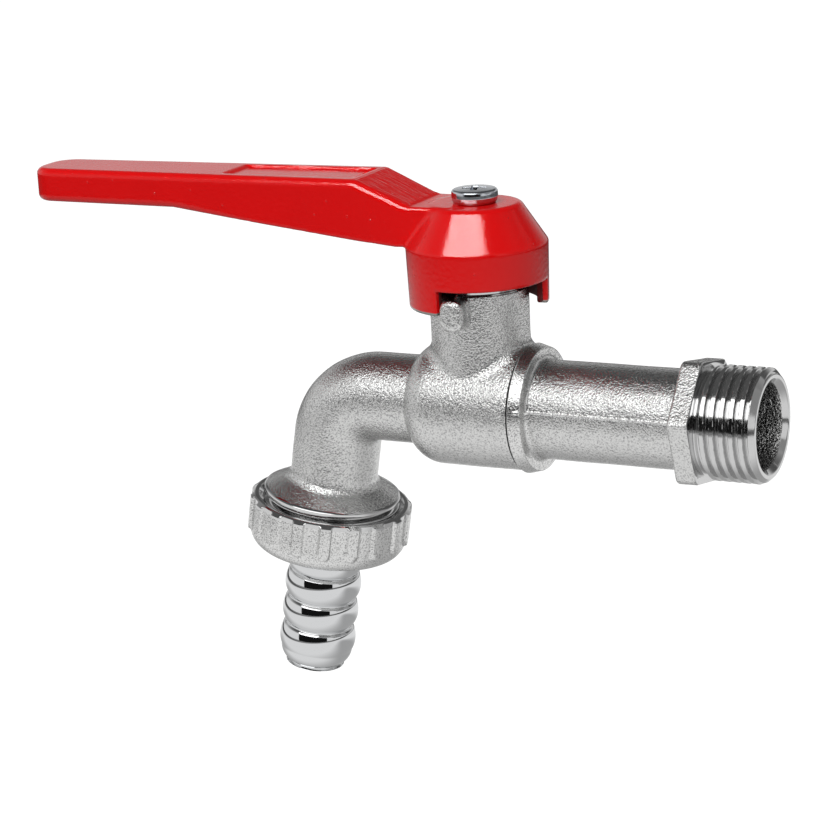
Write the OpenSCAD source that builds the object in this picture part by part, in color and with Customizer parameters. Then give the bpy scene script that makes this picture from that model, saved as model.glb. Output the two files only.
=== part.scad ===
// Ball-valve hose tap: threaded inlet, bent spout, hose union and a quarter-turn lever.
// Millimetres. The origin is on the inlet pipe's axis, at the front face of its hexagon.
// +X runs out of the inlet, +Z up along the valve stem, and the spout lies towards -X.

/* [Inlet connector] */
// Major diameter of the inlet pipe thread, G 1/2
inlet_thread_d = 20.955; // [20.6:0.005:21.3]
// Length of the inlet thread, from the hexagon to the end face
inlet_thread_l = 11.6; // [9:0.1:18]
// Width of the hexagon across its flats
hex_af = 22; // [21.5:0.1:27]
// Thickness of the hexagon
hex_t = 3.9; // [3:0.1:8]
// Angle at which the hexagon came to rest when the connector was screwed in
hex_turn = 10.5; // [0:0.5:60]
// Outside diameter of the inlet pipe
pipe_d = 18.4; // [17.6:0.1:20]
// Length of the pipe between its flange and the hexagon
pipe_l = 28.6; // [15:0.1:60]
// Diameter of the waterway through the inlet pipe
inlet_bore_d = 15.4; // [12:0.1:15.8]
// How far the flange that meets the body stands out round the chamber
flange_lip = 0.4; // [0.2:0.05:1.2]
// Thickness of that flange, with its round shoulder
flange_t = 2.5; // [2.2:0.1:5]

/* [Ball and seats] */
// Diameter of the ball
ball_d = 16; // [14:0.1:16.4]
// Diameter of the waterway through the ball
ball_bore_d = 10; // [8:0.1:11]
// Width of the drive slot across the top of the ball
slot_w = 4; // [3:0.1:5]
// Depth of the drive slot below the top of the ball
slot_depth = 2; // [1.5:0.1:2.6]
// Thickness of each seat ring along the pipe
seat_t = 3; // [2:0.1:3.6]
// Gap between the ball and its seats
seat_gap = 0.1; // [0.06:0.01:0.2]
// Thickness of the seal ring between the connector and the body
body_seal_t = 1; // [0.6:0.1:1.6]

/* [Body] */
// Wall of the ball chamber outside the thread that joins the connector to it
chamber_wall = 1.7; // [1.3:0.05:3]
// Wall of the connector's spigot round its seat
spigot_wall = 1.75; // [1.4:0.05:2.2]
// Distance from the seam face to the stem axis
stem_to_seam = 10; // [9:0.1:12]
// Radius of the round shoulder at the spout end of the chamber
shoulder_r = 6.5; // [5:0.1:7.5]
// Outside diameter of the neck round the stem
neck_d = 18.4; // [16:0.1:20]
// Height of the neck's top face above the pipe axis
neck_top = 22.5; // [21:0.1:30]
// Height of the stop lug's middle above the pipe axis
lug_z = 19.7; // [19.4:0.1:20]
// Width of the stop lug at its face
lug_w = 4.2; // [3:0.1:6]
// Height of the stop lug at its face
lug_h = 5.4; // [4.4:0.1:6]

/* [Spout] */
// Outside diameter of the spout
spout_d = 16.8; // [15.6:0.1:18]
// Wall of the spout
spout_wall = 2; // [1.5:0.1:3]
// Distance from the stem axis to where the outlet axis meets the pipe axis
spout_reach = 30; // [28:0.1:60]
// Radius of the elbow's centre line
elbow_r = 10; // [9:0.1:16]
// Angle that the outlet leans away from the vertical
outlet_tilt = 10; // [0:1:30]
// Distance down the outlet axis to the top of the outlet thread
outlet_drop = 19.9; // [19:0.1:40]
// Major diameter of the outlet thread, G 3/4
outlet_thread_d = 26.441; // [25.5:0.001:27]
// Length of the outlet thread
outlet_thread_l = 6.2; // [5:0.1:12]

/* [Stem and gland] */
// Diameter of the stem
stem_d = 8; // [7:0.1:8.6]
// Width of the stem across the two flats that drive the handle
stem_af = 6; // [5:0.1:6.4]
// Thickness of the wall between the ball chamber and the stem's collar
roof_t = 4; // [3:0.1:5]
// Thickness of the stem's collar
collar_t = 2; // [1.4:0.1:3]
// Diameter of the bore that holds the packing and the gland nut's thread
gland_d = 12; // [11.4:0.1:13]
// Thickness of the thrust washer under the collar
washer_t = 0.8; // [0.5:0.1:1.2]
// Thickness of each packing ring
packing_t = 1.6; // [1.2:0.1:1.8]
// Width of the gland nut across its flats
gland_af = 12.4; // [12.2:0.1:14]
// Height of the gland nut's hexagon
gland_h = 2.8; // [2:0.1:4]

/* [Handle] */
// Diameter of the handle's cap at its widest, where cone meets skirt
cap_d = 26.4; // [26.4:0.1:30]
// Diameter of the cap at its top edge
cap_top_d = 17.8; // [16:0.1:20]
// Height of the cap's top face above the pipe axis
cap_top = 38.2; // [37.5:0.1:48]
// Height of the cone between the top face and the skirt
cone_h = 7.4; // [6:0.1:9]
// Length of the skirt below the cone
skirt_h = 11.4; // [10.5:0.1:12]
// Wall of the cap
cap_wall = 2.1; // [1.6:0.1:2.6]
// Distance from the skirt's bottom up to the top of its window
window_h = 4.6; // [3.8:0.1:5.4]
// Quarter turn of the handle, in degrees
handle_turn = 90; // [80:1:100]
// Distance from the stem axis to the lever's tip
lever_reach = 94; // [70:0.1:160]
// Width of the lever at its tip
lever_tip_w = 12.8; // [10:0.1:15]
// Width of the lever where it bends down to the cap
lever_bend_w = 15.6; // [13:0.1:20]
// Thickness of the lever at its tip
lever_tip_t = 6.4; // [5:0.1:9]
// Rise of the lever's top above the cap
lever_rise = 4.7; // [3:0.1:9]
// Fall of the lever's top from the bend to the tip
lever_fall = 0.5; // [0:0.1:4]
// Depth of the recess in the lever's top
recess_depth = 1.2; // [0.6:0.1:2]
// Length of that recess
recess_l = 28.4; // [15:0.1:60]

/* [Handle screw] */
// Diameter of the screw's thread
screw_d = 4; // [3:0.1:4.4]
// Length of the screw under its head
screw_l = 11; // [8:0.5:11]
// Diameter of the screw's head
screw_head_d = 8.5; // [7:0.1:10]
// Height of the screw's head
screw_head_h = 2.8; // [2.4:0.1:4]

/* [Hose union] */
// Wall of the union nut outside its thread, ribs included
nut_wall = 2.53; // [2:0.05:4.8]
// Height of the union nut
nut_h = 10.2; // [10:0.1:14]
// Number of ribs round the nut
rib_count = 18; // [8:1:30]
// Height of each rib
rib_h = 0.55; // [0.3:0.05:1]
// Thickness of the outlet gasket
gasket_t = 1.8; // [1:0.1:3]
// Thickness of the nozzle's flange
nozzle_flange_t = 1.9; // [1.4:0.1:3]
// Diameter of the nozzle over its barbs, for a half-inch hose
barb_d = 14.9; // [14:0.1:15.2]
// Depth of the hollow between two barbs
barb_depth = 0.65; // [0.3:0.05:1]
// Distance from one barb to the next
barb_pitch = 5.7; // [4:0.1:8]
// Number of barbs
barb_count = 3; // [2:1:6]
// Diameter of the waterway through the nozzle
nozzle_bore_d = 10.6; // [9:0.1:11.4]

/* [Hidden] */
$fn = 96;
eps = 0.01;
bend_lap = 0.4;      // how far the straight outlet reaches back into the bend
bend_step = 0.08;    // how much wider it is there, so that the two surfaces cross cleanly

// Clearances
run_gap = 0.05;      // a shaft that turns in its bore
thread_gap = 0.1;    // between two threads drawn at their major diameter
free_gap = 0.3;      // between pieces that pass without touching
stop_gap = 0.7;      // degrees between the lug and the edge of the window
joint_ledge = 0.6;   // metal left between the stem's bore and the step for the seal

// Places along the pipe axis
seam_x = -(hex_t + pipe_l + flange_t);
stem_x = seam_x - stem_to_seam;
outlet_x = stem_x - spout_reach;

// Ball, seats and chamber
ball_r = ball_d / 2;
seat_id = ball_bore_d + 0.4;
seat_r = ball_r + 0.25;
contact_r = seat_id / 2 + 1.1;
seat_face = sqrt(pow(ball_r + seat_gap, 2) - pow(contact_r, 2));
seat_back = seat_face + seat_t;
step_x = stem_d / 2 + run_gap + joint_ledge;
spigot_end = step_x + body_seal_t;
joint_d = 2 * (seat_r + spigot_wall);
chamber_d = joint_d + 2 * chamber_wall;
flange_d = chamber_d + 2 * flange_lip;
shoulder_x = 1.1 - seat_back;

// Stem heights
slot_floor = ball_r - slot_depth;
tang_w = slot_w - 0.2;
tang_d = stem_d - 0.2;
roof_z = seat_r + roof_t;
collar_z = roof_z + washer_t;
collar_d = gland_d - 0.4;
packing_z = collar_z + collar_t + run_gap;
gland_z = packing_z + 2 * packing_t;
hub_z = neck_top + gland_h + free_gap + 0.2;
hub_d = stem_d + 5;
socket_top = cap_top - cap_wall - 0.9;
stem_top = socket_top - 0.4;

// Stop lug and window, in degrees round the stem
skirt_taper = 0.3;
lug_at = -90;
lug_r = cap_d / 2 - 0.4;
window_r = cap_d / 2 - skirt_taper - cap_wall;   // inside of the skirt at its bottom
lug_half = asin(lug_w / 2 / window_r);
window_from = lug_at - lug_half - stop_gap;
window_to = lug_at + lug_half + stop_gap + handle_turn;

// Handle
skirt_top = cap_top - cone_h;
skirt_bottom = skirt_top - skirt_h;
edge_r = 1.4;
low_edge_r = 0.7;
bend_x = stem_x - cap_top_d / 2 - 12.6;
root_x = stem_x - cap_top_d / 2 - 0.4;
tip_x = stem_x - lever_reach;
break_x = tip_x + 33;
tip_round = 5;
lever_top = cap_top + lever_rise;
lever_under_slope = 0.112;

// Outlet
spout_r = spout_d / 2;
outlet_r = outlet_thread_d / 2;
elbow_turn = 90 - outlet_tilt;
elbow_run = elbow_r * tan(elbow_turn / 2);
flare_fillet = 2.5;
flare_angle = 30;
outlet_end = outlet_drop + outlet_thread_l;
gasket_end = outlet_end + gasket_t;
nozzle_seat = gasket_end + nozzle_flange_t;
waterway_r = spout_r - spout_wall;

// Union nut and nozzle
nut_r = outlet_r + nut_wall;
nut_wall_r = nut_r - rib_h;
nut_ledge = 1.85;
nut_bottom = nozzle_seat + nut_ledge;
nut_top = nut_bottom - nut_h;
nut_bottom_round = 3.2;
nut_hole_r = barb_d / 2 + 0.6;
nozzle_flange_r = outlet_r - 1.2;
barb_r = barb_d / 2;
nozzle_neck_r = barb_r - 0.6;
first_barb = nut_bottom + 4.9;
nozzle_end = first_barb + barb_count * barb_pitch + 2.5;

// Points on an arc about [cx, cy], from angle a0 to angle a1
function arc(cx, cy, r, a0, a1, n = 6) =
    [for (i = [0:n]) [cx + r * cos(a0 + (a1 - a0) * i / n), cy + r * sin(a0 + (a1 - a0) * i / n)]];

// Stands children on the pipe axis at x, with their z axis along +X
module along_x(x) {
    translate([x, 0, 0]) rotate([0, 90, 0]) children();
}

// Stands children on the stem axis
module on_stem() {
    translate([stem_x, 0, 0]) children();
}

// Stands children on the outlet axis, with their z axis down the outlet
module on_outlet() {
    translate([outlet_x, 0, 0]) rotate([0, 180 + outlet_tilt, 0]) children();
}

// Flat ring with its bottom face at z = 0
module ring(od, id, h) {
    difference() {
        cylinder(d = od, h = h);
        translate([0, 0, -eps]) cylinder(d = id, h = h + 2 * eps);
    }
}

// Cylinder with a 45 degree chamfer at its top
module chamfered_rod(r, h, c) {
    cylinder(r = r, h = h - c);
    translate([0, 0, h - c]) cylinder(r1 = r, r2 = r - c, h = c);
}

// Elbow between the pipe axis and the outlet axis
module elbow(r) {
    translate([outlet_x + elbow_run, 0, -elbow_r]) rotate([90, 0, 0])
        rotate_extrude(angle = elbow_turn, start = 90) translate([elbow_r, 0]) circle(r);
}

// Ball chamber with its round shoulder towards the spout
module chamber_outside() {
    chamber_r = chamber_d / 2;
    along_x(stem_x) rotate_extrude() {
        translate([0, shoulder_x]) square([chamber_r, stem_to_seam - shoulder_x]);
        intersection() {
            translate([chamber_r - shoulder_r, shoulder_x]) circle(shoulder_r);
            translate([0, shoulder_x - shoulder_r]) square([chamber_r, shoulder_r]);
        }
        translate([0, shoulder_x - shoulder_r]) square([chamber_r - shoulder_r, shoulder_r]);
    }
}

// Lug on the neck that stops the handle at both ends of its quarter turn:
// it flares at its root, and is straight where it stands in the handle's window
module stop_lug() {
    face_r = lug_w / 2;
    base_r = face_r + 0.6;
    root_y = neck_d / 2 - 1.2;
    flare = window_r - 0.4 - root_y;
    reach = lug_r - root_y;
    straight = lug_h - lug_w;
    on_stem() intersection() {
        translate([0, -root_y, lug_z]) rotate([90, 0, 0]) {
            for (dy = [-straight / 2, straight / 2]) translate([0, dy, 0]) {
                cylinder(r1 = base_r, r2 = face_r, h = flare);
                translate([0, 0, flare]) cylinder(r = face_r, h = reach - flare);
            }
            translate([0, straight / 2, 0]) rotate([90, 0, 0]) linear_extrude(straight)
                polygon([[-base_r, 0], [base_r, 0], [face_r, flare], [face_r, reach], [-face_r, reach], [-face_r, flare]]);
        }
        translate([-cap_d / 2, -cap_d, 0]) cube([cap_d, cap_d, neck_top]);
    }
}

// Spout's outlet: a tube that flares into the blank of the outlet thread
module outlet_outside() {
    cone_from_r = spout_r + flare_fillet * (1 - sin(flare_angle));
    cone_from = outlet_drop - (outlet_r - cone_from_r) * tan(flare_angle);
    fillet_z = cone_from - flare_fillet * cos(flare_angle);
    on_outlet() {
        translate([0, 0, elbow_run - bend_lap]) cylinder(r = spout_r + bend_step, h = outlet_drop - elbow_run);
        rotate_extrude() polygon(concat(
            [[0, fillet_z]],
            arc(spout_r + flare_fillet, fillet_z, flare_fillet, 180, 90 + flare_angle),
            [[outlet_r, outlet_drop], [0, outlet_drop]]));
        translate([0, 0, outlet_drop - eps]) chamfered_rod(outlet_r, outlet_thread_l + eps, 0.7);
    }
}

module body() {
    color("silver") difference() {
        union() {
            chamber_outside();
            on_stem() cylinder(d = neck_d, h = neck_top);
            stop_lug();
            along_x(outlet_x + elbow_run) cylinder(r = spout_r, h = spout_reach - elbow_run);
            elbow(spout_r);
            outlet_outside();
        }
        // Thread for the connector, ball chamber and the pocket of the outlet seat
        along_x(stem_x + step_x) cylinder(d = joint_d, h = stem_to_seam - step_x + eps);
        along_x(stem_x - seat_back) cylinder(r = seat_r, h = seat_back + step_x + eps);
        // Waterway to the outlet
        along_x(stem_x - seat_back - 1) cylinder(d = seat_id, h = 2);
        along_x(outlet_x + elbow_run)
            cylinder(r = waterway_r, h = spout_reach - elbow_run - seat_back - 1 + eps);
        elbow(waterway_r);
        on_outlet() translate([0, 0, elbow_run - bend_lap])
            cylinder(r = waterway_r + bend_step, h = outlet_end - elbow_run + bend_lap + eps);
        // Stem bore, and the wider bore for the packing and the gland nut
        on_stem() {
            cylinder(d = stem_d + 2 * run_gap, h = neck_top);
            translate([0, 0, roof_z]) cylinder(d = gland_d, h = neck_top - roof_z + eps);
        }
    }
}

module inlet_connector() {
    hex_r = hex_af / sqrt(3);
    hex_trim = hex_r - 0.35;
    shoulder = 1.4;
    pocket_l = seat_back - spigot_end;
    spigot_l = stem_to_seam - spigot_end;
    color("silver") difference() {
        union() {
            // Spigot that screws into the body
            along_x(seam_x - spigot_l) cylinder(d = joint_d - 2 * run_gap, h = spigot_l + eps);
            // Flange with a turned rim and a round shoulder
            along_x(seam_x) rotate_extrude() {
                square([flange_d / 2, flange_t - shoulder]);
                square([flange_d / 2 - shoulder, flange_t]);
                intersection() {
                    translate([flange_d / 2 - shoulder, flange_t - shoulder]) circle(shoulder);
                    square([flange_d / 2, flange_t]);
                }
            }
            along_x(seam_x + flange_t - eps) cylinder(d = pipe_d, h = pipe_l + 2 * eps);
            // Hexagon, with its corners turned back
            along_x(-hex_t) intersection() {
                rotate(90 - hex_turn) cylinder(r = hex_r, h = hex_t, $fn = 6);
                chamfered_rod(hex_trim, hex_t, 0.5);
            }
            along_x(-eps) chamfered_rod(inlet_thread_d / 2, inlet_thread_l + eps, 0.9);
        }
        // Pocket of the inlet seat, waterway and countersunk mouth
        along_x(seam_x - spigot_l - eps) cylinder(r = seat_r, h = pocket_l + eps);
        along_x(stem_x + seat_back - eps) cylinder(d = seat_id, h = 3);
        along_x(stem_x + seat_back + 2) cylinder(d1 = seat_id, d2 = inlet_bore_d, h = 3);
        along_x(stem_x + seat_back + 5 - eps) cylinder(d = inlet_bore_d, h = inlet_thread_l - stem_x - seat_back);
        along_x(inlet_thread_l - 1) cylinder(d1 = inlet_bore_d, d2 = inlet_bore_d + 2, h = 1 + eps);
    }
}

// Seal between the end of the connector's spigot and the step in the body
module body_seal_ring() {
    color("white") along_x(stem_x + step_x) ring(joint_d, 2 * seat_r, body_seal_t);
}

// Seat ring, with its back at z = 0 and its hollow face towards the ball's centre
module seat() {
    color("white") difference() {
        ring(2 * seat_r, seat_id, seat_t);
        translate([0, 0, seat_back]) sphere(ball_r + seat_gap);
    }
}

module inlet_seat() {
    translate([stem_x + seat_back, 0, 0]) rotate([0, -90, 0]) seat();
}

module outlet_seat() {
    along_x(stem_x - seat_back) seat();
}

module ball() {
    color("gainsboro") on_stem() difference() {
        sphere(ball_r);
        rotate([0, 90, 0]) cylinder(d = ball_bore_d, h = ball_d, center = true);
        translate([-slot_w / 2, -ball_r, slot_floor]) cube([slot_w, ball_d, slot_depth + 1]);
    }
}

// Two flats that drive the handle, as a cross-section
module drive_section(d, af) {
    intersection() {
        circle(d = d);
        square([d, af], center = true);
    }
}

module stem() {
    tang_top = ball_r + 0.3;
    color("gold") on_stem() difference() {
        union() {
            translate([0, 0, slot_floor + 0.1]) intersection() {
                cylinder(d = tang_d, h = tang_top - slot_floor);
                translate([-tang_w / 2, -stem_d, -1]) cube([tang_w, 2 * stem_d, 2 * ball_r]);
            }
            translate([0, 0, tang_top]) cylinder(d = stem_d, h = hub_z - tang_top);
            translate([0, 0, collar_z + run_gap]) cylinder(d = collar_d, h = collar_t - run_gap);
            translate([0, 0, hub_z]) linear_extrude(stem_top - hub_z) drive_section(stem_d, stem_af);
        }
        translate([0, 0, cap_top - screw_l - 0.6])
            cylinder(d = screw_d + 2 * run_gap, h = screw_l);
    }
}

module thrust_washer() {
    color("white") on_stem() translate([0, 0, roof_z]) ring(collar_d, stem_d + 2 * run_gap, washer_t);
}

module packing_ring(z) {
    color("white") on_stem() translate([0, 0, z]) ring(gland_d, stem_d + 2 * run_gap, packing_t);
}

module lower_packing_ring() {
    packing_ring(packing_z);
}

module upper_packing_ring() {
    packing_ring(packing_z + packing_t);
}

module gland_nut() {
    corner_r = gland_af / sqrt(3);
    chamfer = 0.5;
    corner_at = -48;
    color("silver") on_stem() difference() {
        union() {
            translate([0, 0, gland_z]) cylinder(d = gland_d - 2 * run_gap, h = neck_top - gland_z + eps);
            translate([0, 0, neck_top]) intersection() {
                rotate(corner_at) cylinder(r = corner_r, h = gland_h, $fn = 6);
                chamfered_rod(corner_r - 0.15, gland_h, chamfer);
            }
        }
        translate([0, 0, gland_z - eps]) cylinder(d = stem_d + 2 * run_gap, h = neck_top + gland_h);
    }
}

// Cross-section of the lever at x: four balls at its corners
module lever_corners(x, low, top, w) {
    for (s = [-1, 1]) {
        translate([x, s * (w / 2 - edge_r), top - edge_r]) sphere(edge_r, $fn = 24);
        translate([x, s * (w / 2 - low_edge_r), low + low_edge_r]) sphere(low_edge_r, $fn = 16);
    }
}

// Rounded corners at the lever's tip
module lever_tip(low, top, w) {
    for (s = [-1, 1]) translate([tip_x + tip_round, s * (w / 2 - tip_round), 0]) {
        translate([0, 0, top - edge_r]) rotate_extrude($fn = 32) translate([tip_round - edge_r, 0])
            intersection() {
                circle(edge_r, $fn = 24);
                translate([-tip_round, 0]) square([2 * tip_round, edge_r]);
            }
        translate([0, 0, low]) cylinder(r1 = tip_round - low_edge_r, r2 = tip_round, h = low_edge_r, $fn = 32);
    }
}

// Height of the lever's top at x
function lever_top_at(x) = lever_top - lever_fall * (bend_x - x) / (bend_x - tip_x);

// Width of the lever at x
function lever_w_at(x) = lever_bend_w + (lever_tip_w - lever_bend_w) * (bend_x - x) / (bend_x - tip_x);

// Height of the lever's sloping underside at x
function lever_low_at(x) = skirt_top - 0.1 + lever_under_slope * (stem_x - cap_d / 2 - x);

module lever() {
    tip_top = lever_top_at(tip_x);
    break_low = lever_low_at(break_x);
    root_w = lever_bend_w - 1.4;
    hull() {
        lever_tip(tip_top - lever_tip_t, tip_top, lever_w_at(tip_x));
        lever_corners(break_x, break_low, lever_top_at(break_x), lever_w_at(break_x));
    }
    hull() {
        lever_corners(break_x, break_low, lever_top_at(break_x), lever_w_at(break_x));
        lever_corners(bend_x, lever_low_at(bend_x), lever_top, lever_bend_w);
    }
    hull() {
        lever_corners(bend_x, lever_low_at(bend_x), lever_top, lever_bend_w);
        lever_corners(root_x, lever_low_at(root_x), cap_top, root_w);
    }
    hull() {
        lever_corners(root_x, lever_low_at(root_x), cap_top, root_w);
        lever_corners(stem_x - cap_top_d / 4, skirt_top, cap_top, root_w);
    }
}

// Long recess with sloping ends in the lever's top
module lever_recess() {
    end_slope = 1.2;
    rim = 1.35;
    to_x = bend_x - 0.8;
    from_x = to_x - recess_l;
    over = 1;
    floor_z = lever_top - recess_depth;
    intersection() {
        translate([0, lever_bend_w, 0]) rotate([90, 0, 0]) linear_extrude(2 * lever_bend_w)
            polygon([[from_x + end_slope, floor_z - 0.2], [to_x - end_slope, floor_z],
                     [to_x + over, lever_top + over], [from_x - over, lever_top + over]]);
        linear_extrude(cap_top + 4 * lever_rise) polygon([
            [from_x - over, lever_w_at(from_x) / 2 - edge_r - rim],
            [to_x + over, lever_w_at(to_x) / 2 - edge_r - rim],
            [to_x + over, -lever_w_at(to_x) / 2 + edge_r + rim],
            [from_x - over, -lever_w_at(from_x) / 2 + edge_r + rim]]);
    }
}

// Outline of the cap, from its axis, drawn in by inset
module cap_section(inset) {
    r = cap_d / 2 - inset;
    top_r = cap_top_d / 2 - inset * 0.8;
    round = max(1 - inset, 0.2);
    polygon(concat(
        [[0, skirt_bottom - (inset > 0 ? 1 : 0)], [r - skirt_taper, skirt_bottom - (inset > 0 ? 1 : 0)],
         [r, skirt_top - 0.3], [r - 0.15, skirt_top + 0.3]],
        arc(top_r - round, cap_top - inset - round, round, 32, 90, 5),
        [[0, cap_top - inset]]));
}

// Window in the skirt, from one end of the quarter turn to the other
module skirt_window() {
    rotate([0, 0, window_from]) rotate_extrude(angle = window_to - window_from)
        translate([hub_d / 2 + 1, skirt_bottom - 1]) square([cap_d / 2, window_h + 1]);
}

module lever_handle() {
    color("red") {
        difference() {
            union() {
                on_stem() rotate_extrude() cap_section(0);
                lever();
            }
            on_stem() rotate_extrude() difference() {
                cap_section(cap_wall);
                translate([0, hub_z]) square([hub_d / 2, cap_top - hub_z]);
            }
            on_stem() skirt_window();
            lever_recess();
            on_stem() {
                translate([0, 0, hub_z - eps]) linear_extrude(socket_top - hub_z)
                    drive_section(stem_d + 2 * run_gap, stem_af + 2 * run_gap);
                translate([0, 0, hub_z]) cylinder(d = screw_d + 0.6, h = cap_top);
            }
        }
    }
}

module handle_screw() {
    recess_w = 1.1;
    recess_d = 1.8;
    recess_span = 4.4;
    under_cut = 0.3;
    rim_h = screw_head_h * 0.45;
    dome_h = screw_head_h - rim_h;
    color("lightsteelblue") on_stem() translate([0, 0, cap_top]) difference() {
        union() {
            translate([0, 0, -screw_l]) cylinder(d = screw_d, h = screw_l + eps);
            cylinder(d1 = screw_head_d - 2 * under_cut, d2 = screw_head_d, h = under_cut);
            translate([0, 0, under_cut]) cylinder(d = screw_head_d, h = rim_h - under_cut);
            translate([0, 0, rim_h]) rotate_extrude() intersection() {
                translate([screw_head_d / 2 - dome_h, 0]) circle(dome_h);
                square([screw_head_d / 2, dome_h]);
            }
            translate([0, 0, rim_h]) cylinder(r = screw_head_d / 2 - dome_h, h = dome_h);
        }
        for (turn = [20, 110]) rotate(turn)
            translate([-recess_span / 2, -recess_w / 2, screw_head_h - recess_d]) cube([recess_span, recess_w, recess_d + 1]);
    }
}

module outlet_gasket() {
    color("dimgray") on_outlet() translate([0, 0, outlet_end])
        ring(2 * nozzle_flange_r, 2 * waterway_r - 0.4, gasket_t);
}

// Outline of one barb: a quick round rise, then a long taper to the next hollow
function barb(z) = concat(
    [[barb_r - barb_depth, z]],
    arc(barb_r - 1.6, z + 1.9, 1.6, -40, 20, 5),
    [[barb_r - barb_depth, z + barb_pitch - 0.2]]);

module hose_nozzle() {
    end_round = 3.4;
    color("gainsboro") on_outlet() rotate_extrude() difference() {
        polygon(concat(
            [[0, gasket_end], [nozzle_flange_r, gasket_end], [nozzle_flange_r, nozzle_seat],
             [nozzle_neck_r, nozzle_seat], [nozzle_neck_r, first_barb - 0.2]],
            [for (i = [0:barb_count - 1]) each barb(first_barb + i * barb_pitch)],
            arc(barb_r - barb_depth - end_round, nozzle_end - end_round, end_round, 0, 80, 6),
            [[0, nozzle_end]]));
        translate([0, gasket_end - 1]) square([nozzle_bore_d / 2, nozzle_end - gasket_end + 2]);
    }
}

module union_nut() {
    rib_angle = 9.5;
    rib_turn = 5.6;
    rib_end = nut_bottom - nut_bottom_round + 0.4;
    rib_r = nut_r * 1.2;
    color("silver") on_outlet() difference() {
        union() {
            // Plain wall with its round bottom edge
            rotate_extrude() {
                translate([0, nut_top]) square([nut_wall_r, nut_h - nut_bottom_round]);
                translate([0, nut_top]) square([nut_wall_r - nut_bottom_round, nut_h]);
                intersection() {
                    translate([nut_wall_r - nut_bottom_round, nut_bottom - nut_bottom_round])
                        circle(nut_bottom_round);
                    translate([0, nut_top]) square([nut_r, nut_h]);
                }
            }
            // Ribs
            translate([0, 0, nut_top]) linear_extrude(rib_end - nut_top) intersection() {
                circle(nut_r);
                for (i = [0:rib_count - 1]) rotate(rib_turn + i * 360 / rib_count)
                    polygon([[0, 0], [rib_r, -rib_r * tan(rib_angle / 2)], [rib_r, rib_r * tan(rib_angle / 2)]]);
            }
        }
        // Thread, and the hole round the nozzle
        translate([0, 0, nut_top - eps]) cylinder(r = outlet_r + thread_gap, h = nozzle_seat - nut_top + eps);
        translate([0, 0, nut_top - eps]) cylinder(r = nut_hole_r, h = nut_h + 1);
        // Bevel round the mouth
        translate([0, 0, nut_top - eps]) cylinder(r1 = outlet_r + 1, r2 = outlet_r, h = 1);
    }
}

body();
inlet_connector();
body_seal_ring();
inlet_seat();
outlet_seat();
ball();
stem();
thrust_washer();
lower_packing_ring();
upper_packing_ring();
gland_nut();
lever_handle();
handle_screw();
outlet_gasket();
hose_nozzle();
union_nut();
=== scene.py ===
import math
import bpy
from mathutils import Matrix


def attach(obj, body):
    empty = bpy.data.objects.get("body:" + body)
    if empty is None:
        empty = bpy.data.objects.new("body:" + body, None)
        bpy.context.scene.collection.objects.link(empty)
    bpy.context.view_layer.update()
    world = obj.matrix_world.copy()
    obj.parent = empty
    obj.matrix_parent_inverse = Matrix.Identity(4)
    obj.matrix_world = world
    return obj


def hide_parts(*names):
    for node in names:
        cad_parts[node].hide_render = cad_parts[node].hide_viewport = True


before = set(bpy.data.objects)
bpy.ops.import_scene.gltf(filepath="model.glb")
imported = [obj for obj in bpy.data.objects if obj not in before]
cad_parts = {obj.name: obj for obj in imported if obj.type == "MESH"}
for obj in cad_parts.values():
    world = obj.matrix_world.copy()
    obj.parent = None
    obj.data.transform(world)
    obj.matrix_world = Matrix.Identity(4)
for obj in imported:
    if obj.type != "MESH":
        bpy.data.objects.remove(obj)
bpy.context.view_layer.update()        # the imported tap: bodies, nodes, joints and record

from types import SimpleNamespace

import bpy
import numpy as np
from mathutils import Matrix

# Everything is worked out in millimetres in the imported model's frame, and put into the meshes in metres. Each
# piece's dictionary is read through the short name c.
mm = 0.001
stemX = -45.0            # stem axis
seamX = -35.0            # joint between the body and the inlet connector
outletX = -75.0          # where the outlet axis meets the pipe axis
outletTilt = math.radians(10)
elbowRadius = 10.0
threadPitch = 1.814      # of the inlet, the outlet and the nut
castWave, castWaveSize = 0.035, 4.0      # height and length of the castings' slow waves
print("frame loaded:", len(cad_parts), "nodes")


def linear(code):
    # sRGB hex to linear colour: divided by 12.92 near black, else by the 2.4 power curve
    parts = [int(code[i:i + 2], 16) / 255 for i in (1, 3, 5)]
    return tuple(p / 12.92 if p <= 0.04045 else ((p + 0.055) / 1.055) ** 2.4 for p in parts) + (1.0,)


def put(tree, kind, sockets, out=0, **settings):
    # adds a node and gives one of its outputs: a socket that is given another node's output is linked, any
    # other value is set on it. MapRange: 0 is the value, 1 and 2 its range, 3 and 4 the range it is given.
    node = tree.nodes.new("ShaderNode" + kind)
    for name, value in settings.items():
        setattr(node, name, value)
    for name, value in sockets.items():
        if isinstance(value, bpy.types.NodeSocket):
            tree.links.new(value, node.inputs[name])
        else:
            node.inputs[name].default_value = value
    return node.outputs[out] if node.outputs else None


def newMaterial(name, sockets):
    # a Principled material with its plain values, its nodes, and the Object coordinates its patterns read
    material = bpy.data.materials.new(name)
    material.use_nodes = True
    for key, value in sockets.items():
        material.node_tree.nodes["Principled BSDF"].inputs[key].default_value = value
    return material, material.node_tree, put(material.node_tree, "TexCoord", {}, "Object")


def dress(tree, patterns):
    for key, value in patterns.items():
        tree.links.new(value, tree.nodes["Principled BSDF"].inputs[key])


def addObject(name, data, *axes):
    # a new object in the scene; axes are its own three ways and its place, for what isn't a piece of the tap
    item = bpy.data.objects.new(name, data)
    bpy.context.scene.collection.objects.link(item)
    if axes:
        item.matrix_world = Matrix(np.vstack([np.stack(axes, -1), [0, 0, 0, 1]]))
    return item


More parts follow.
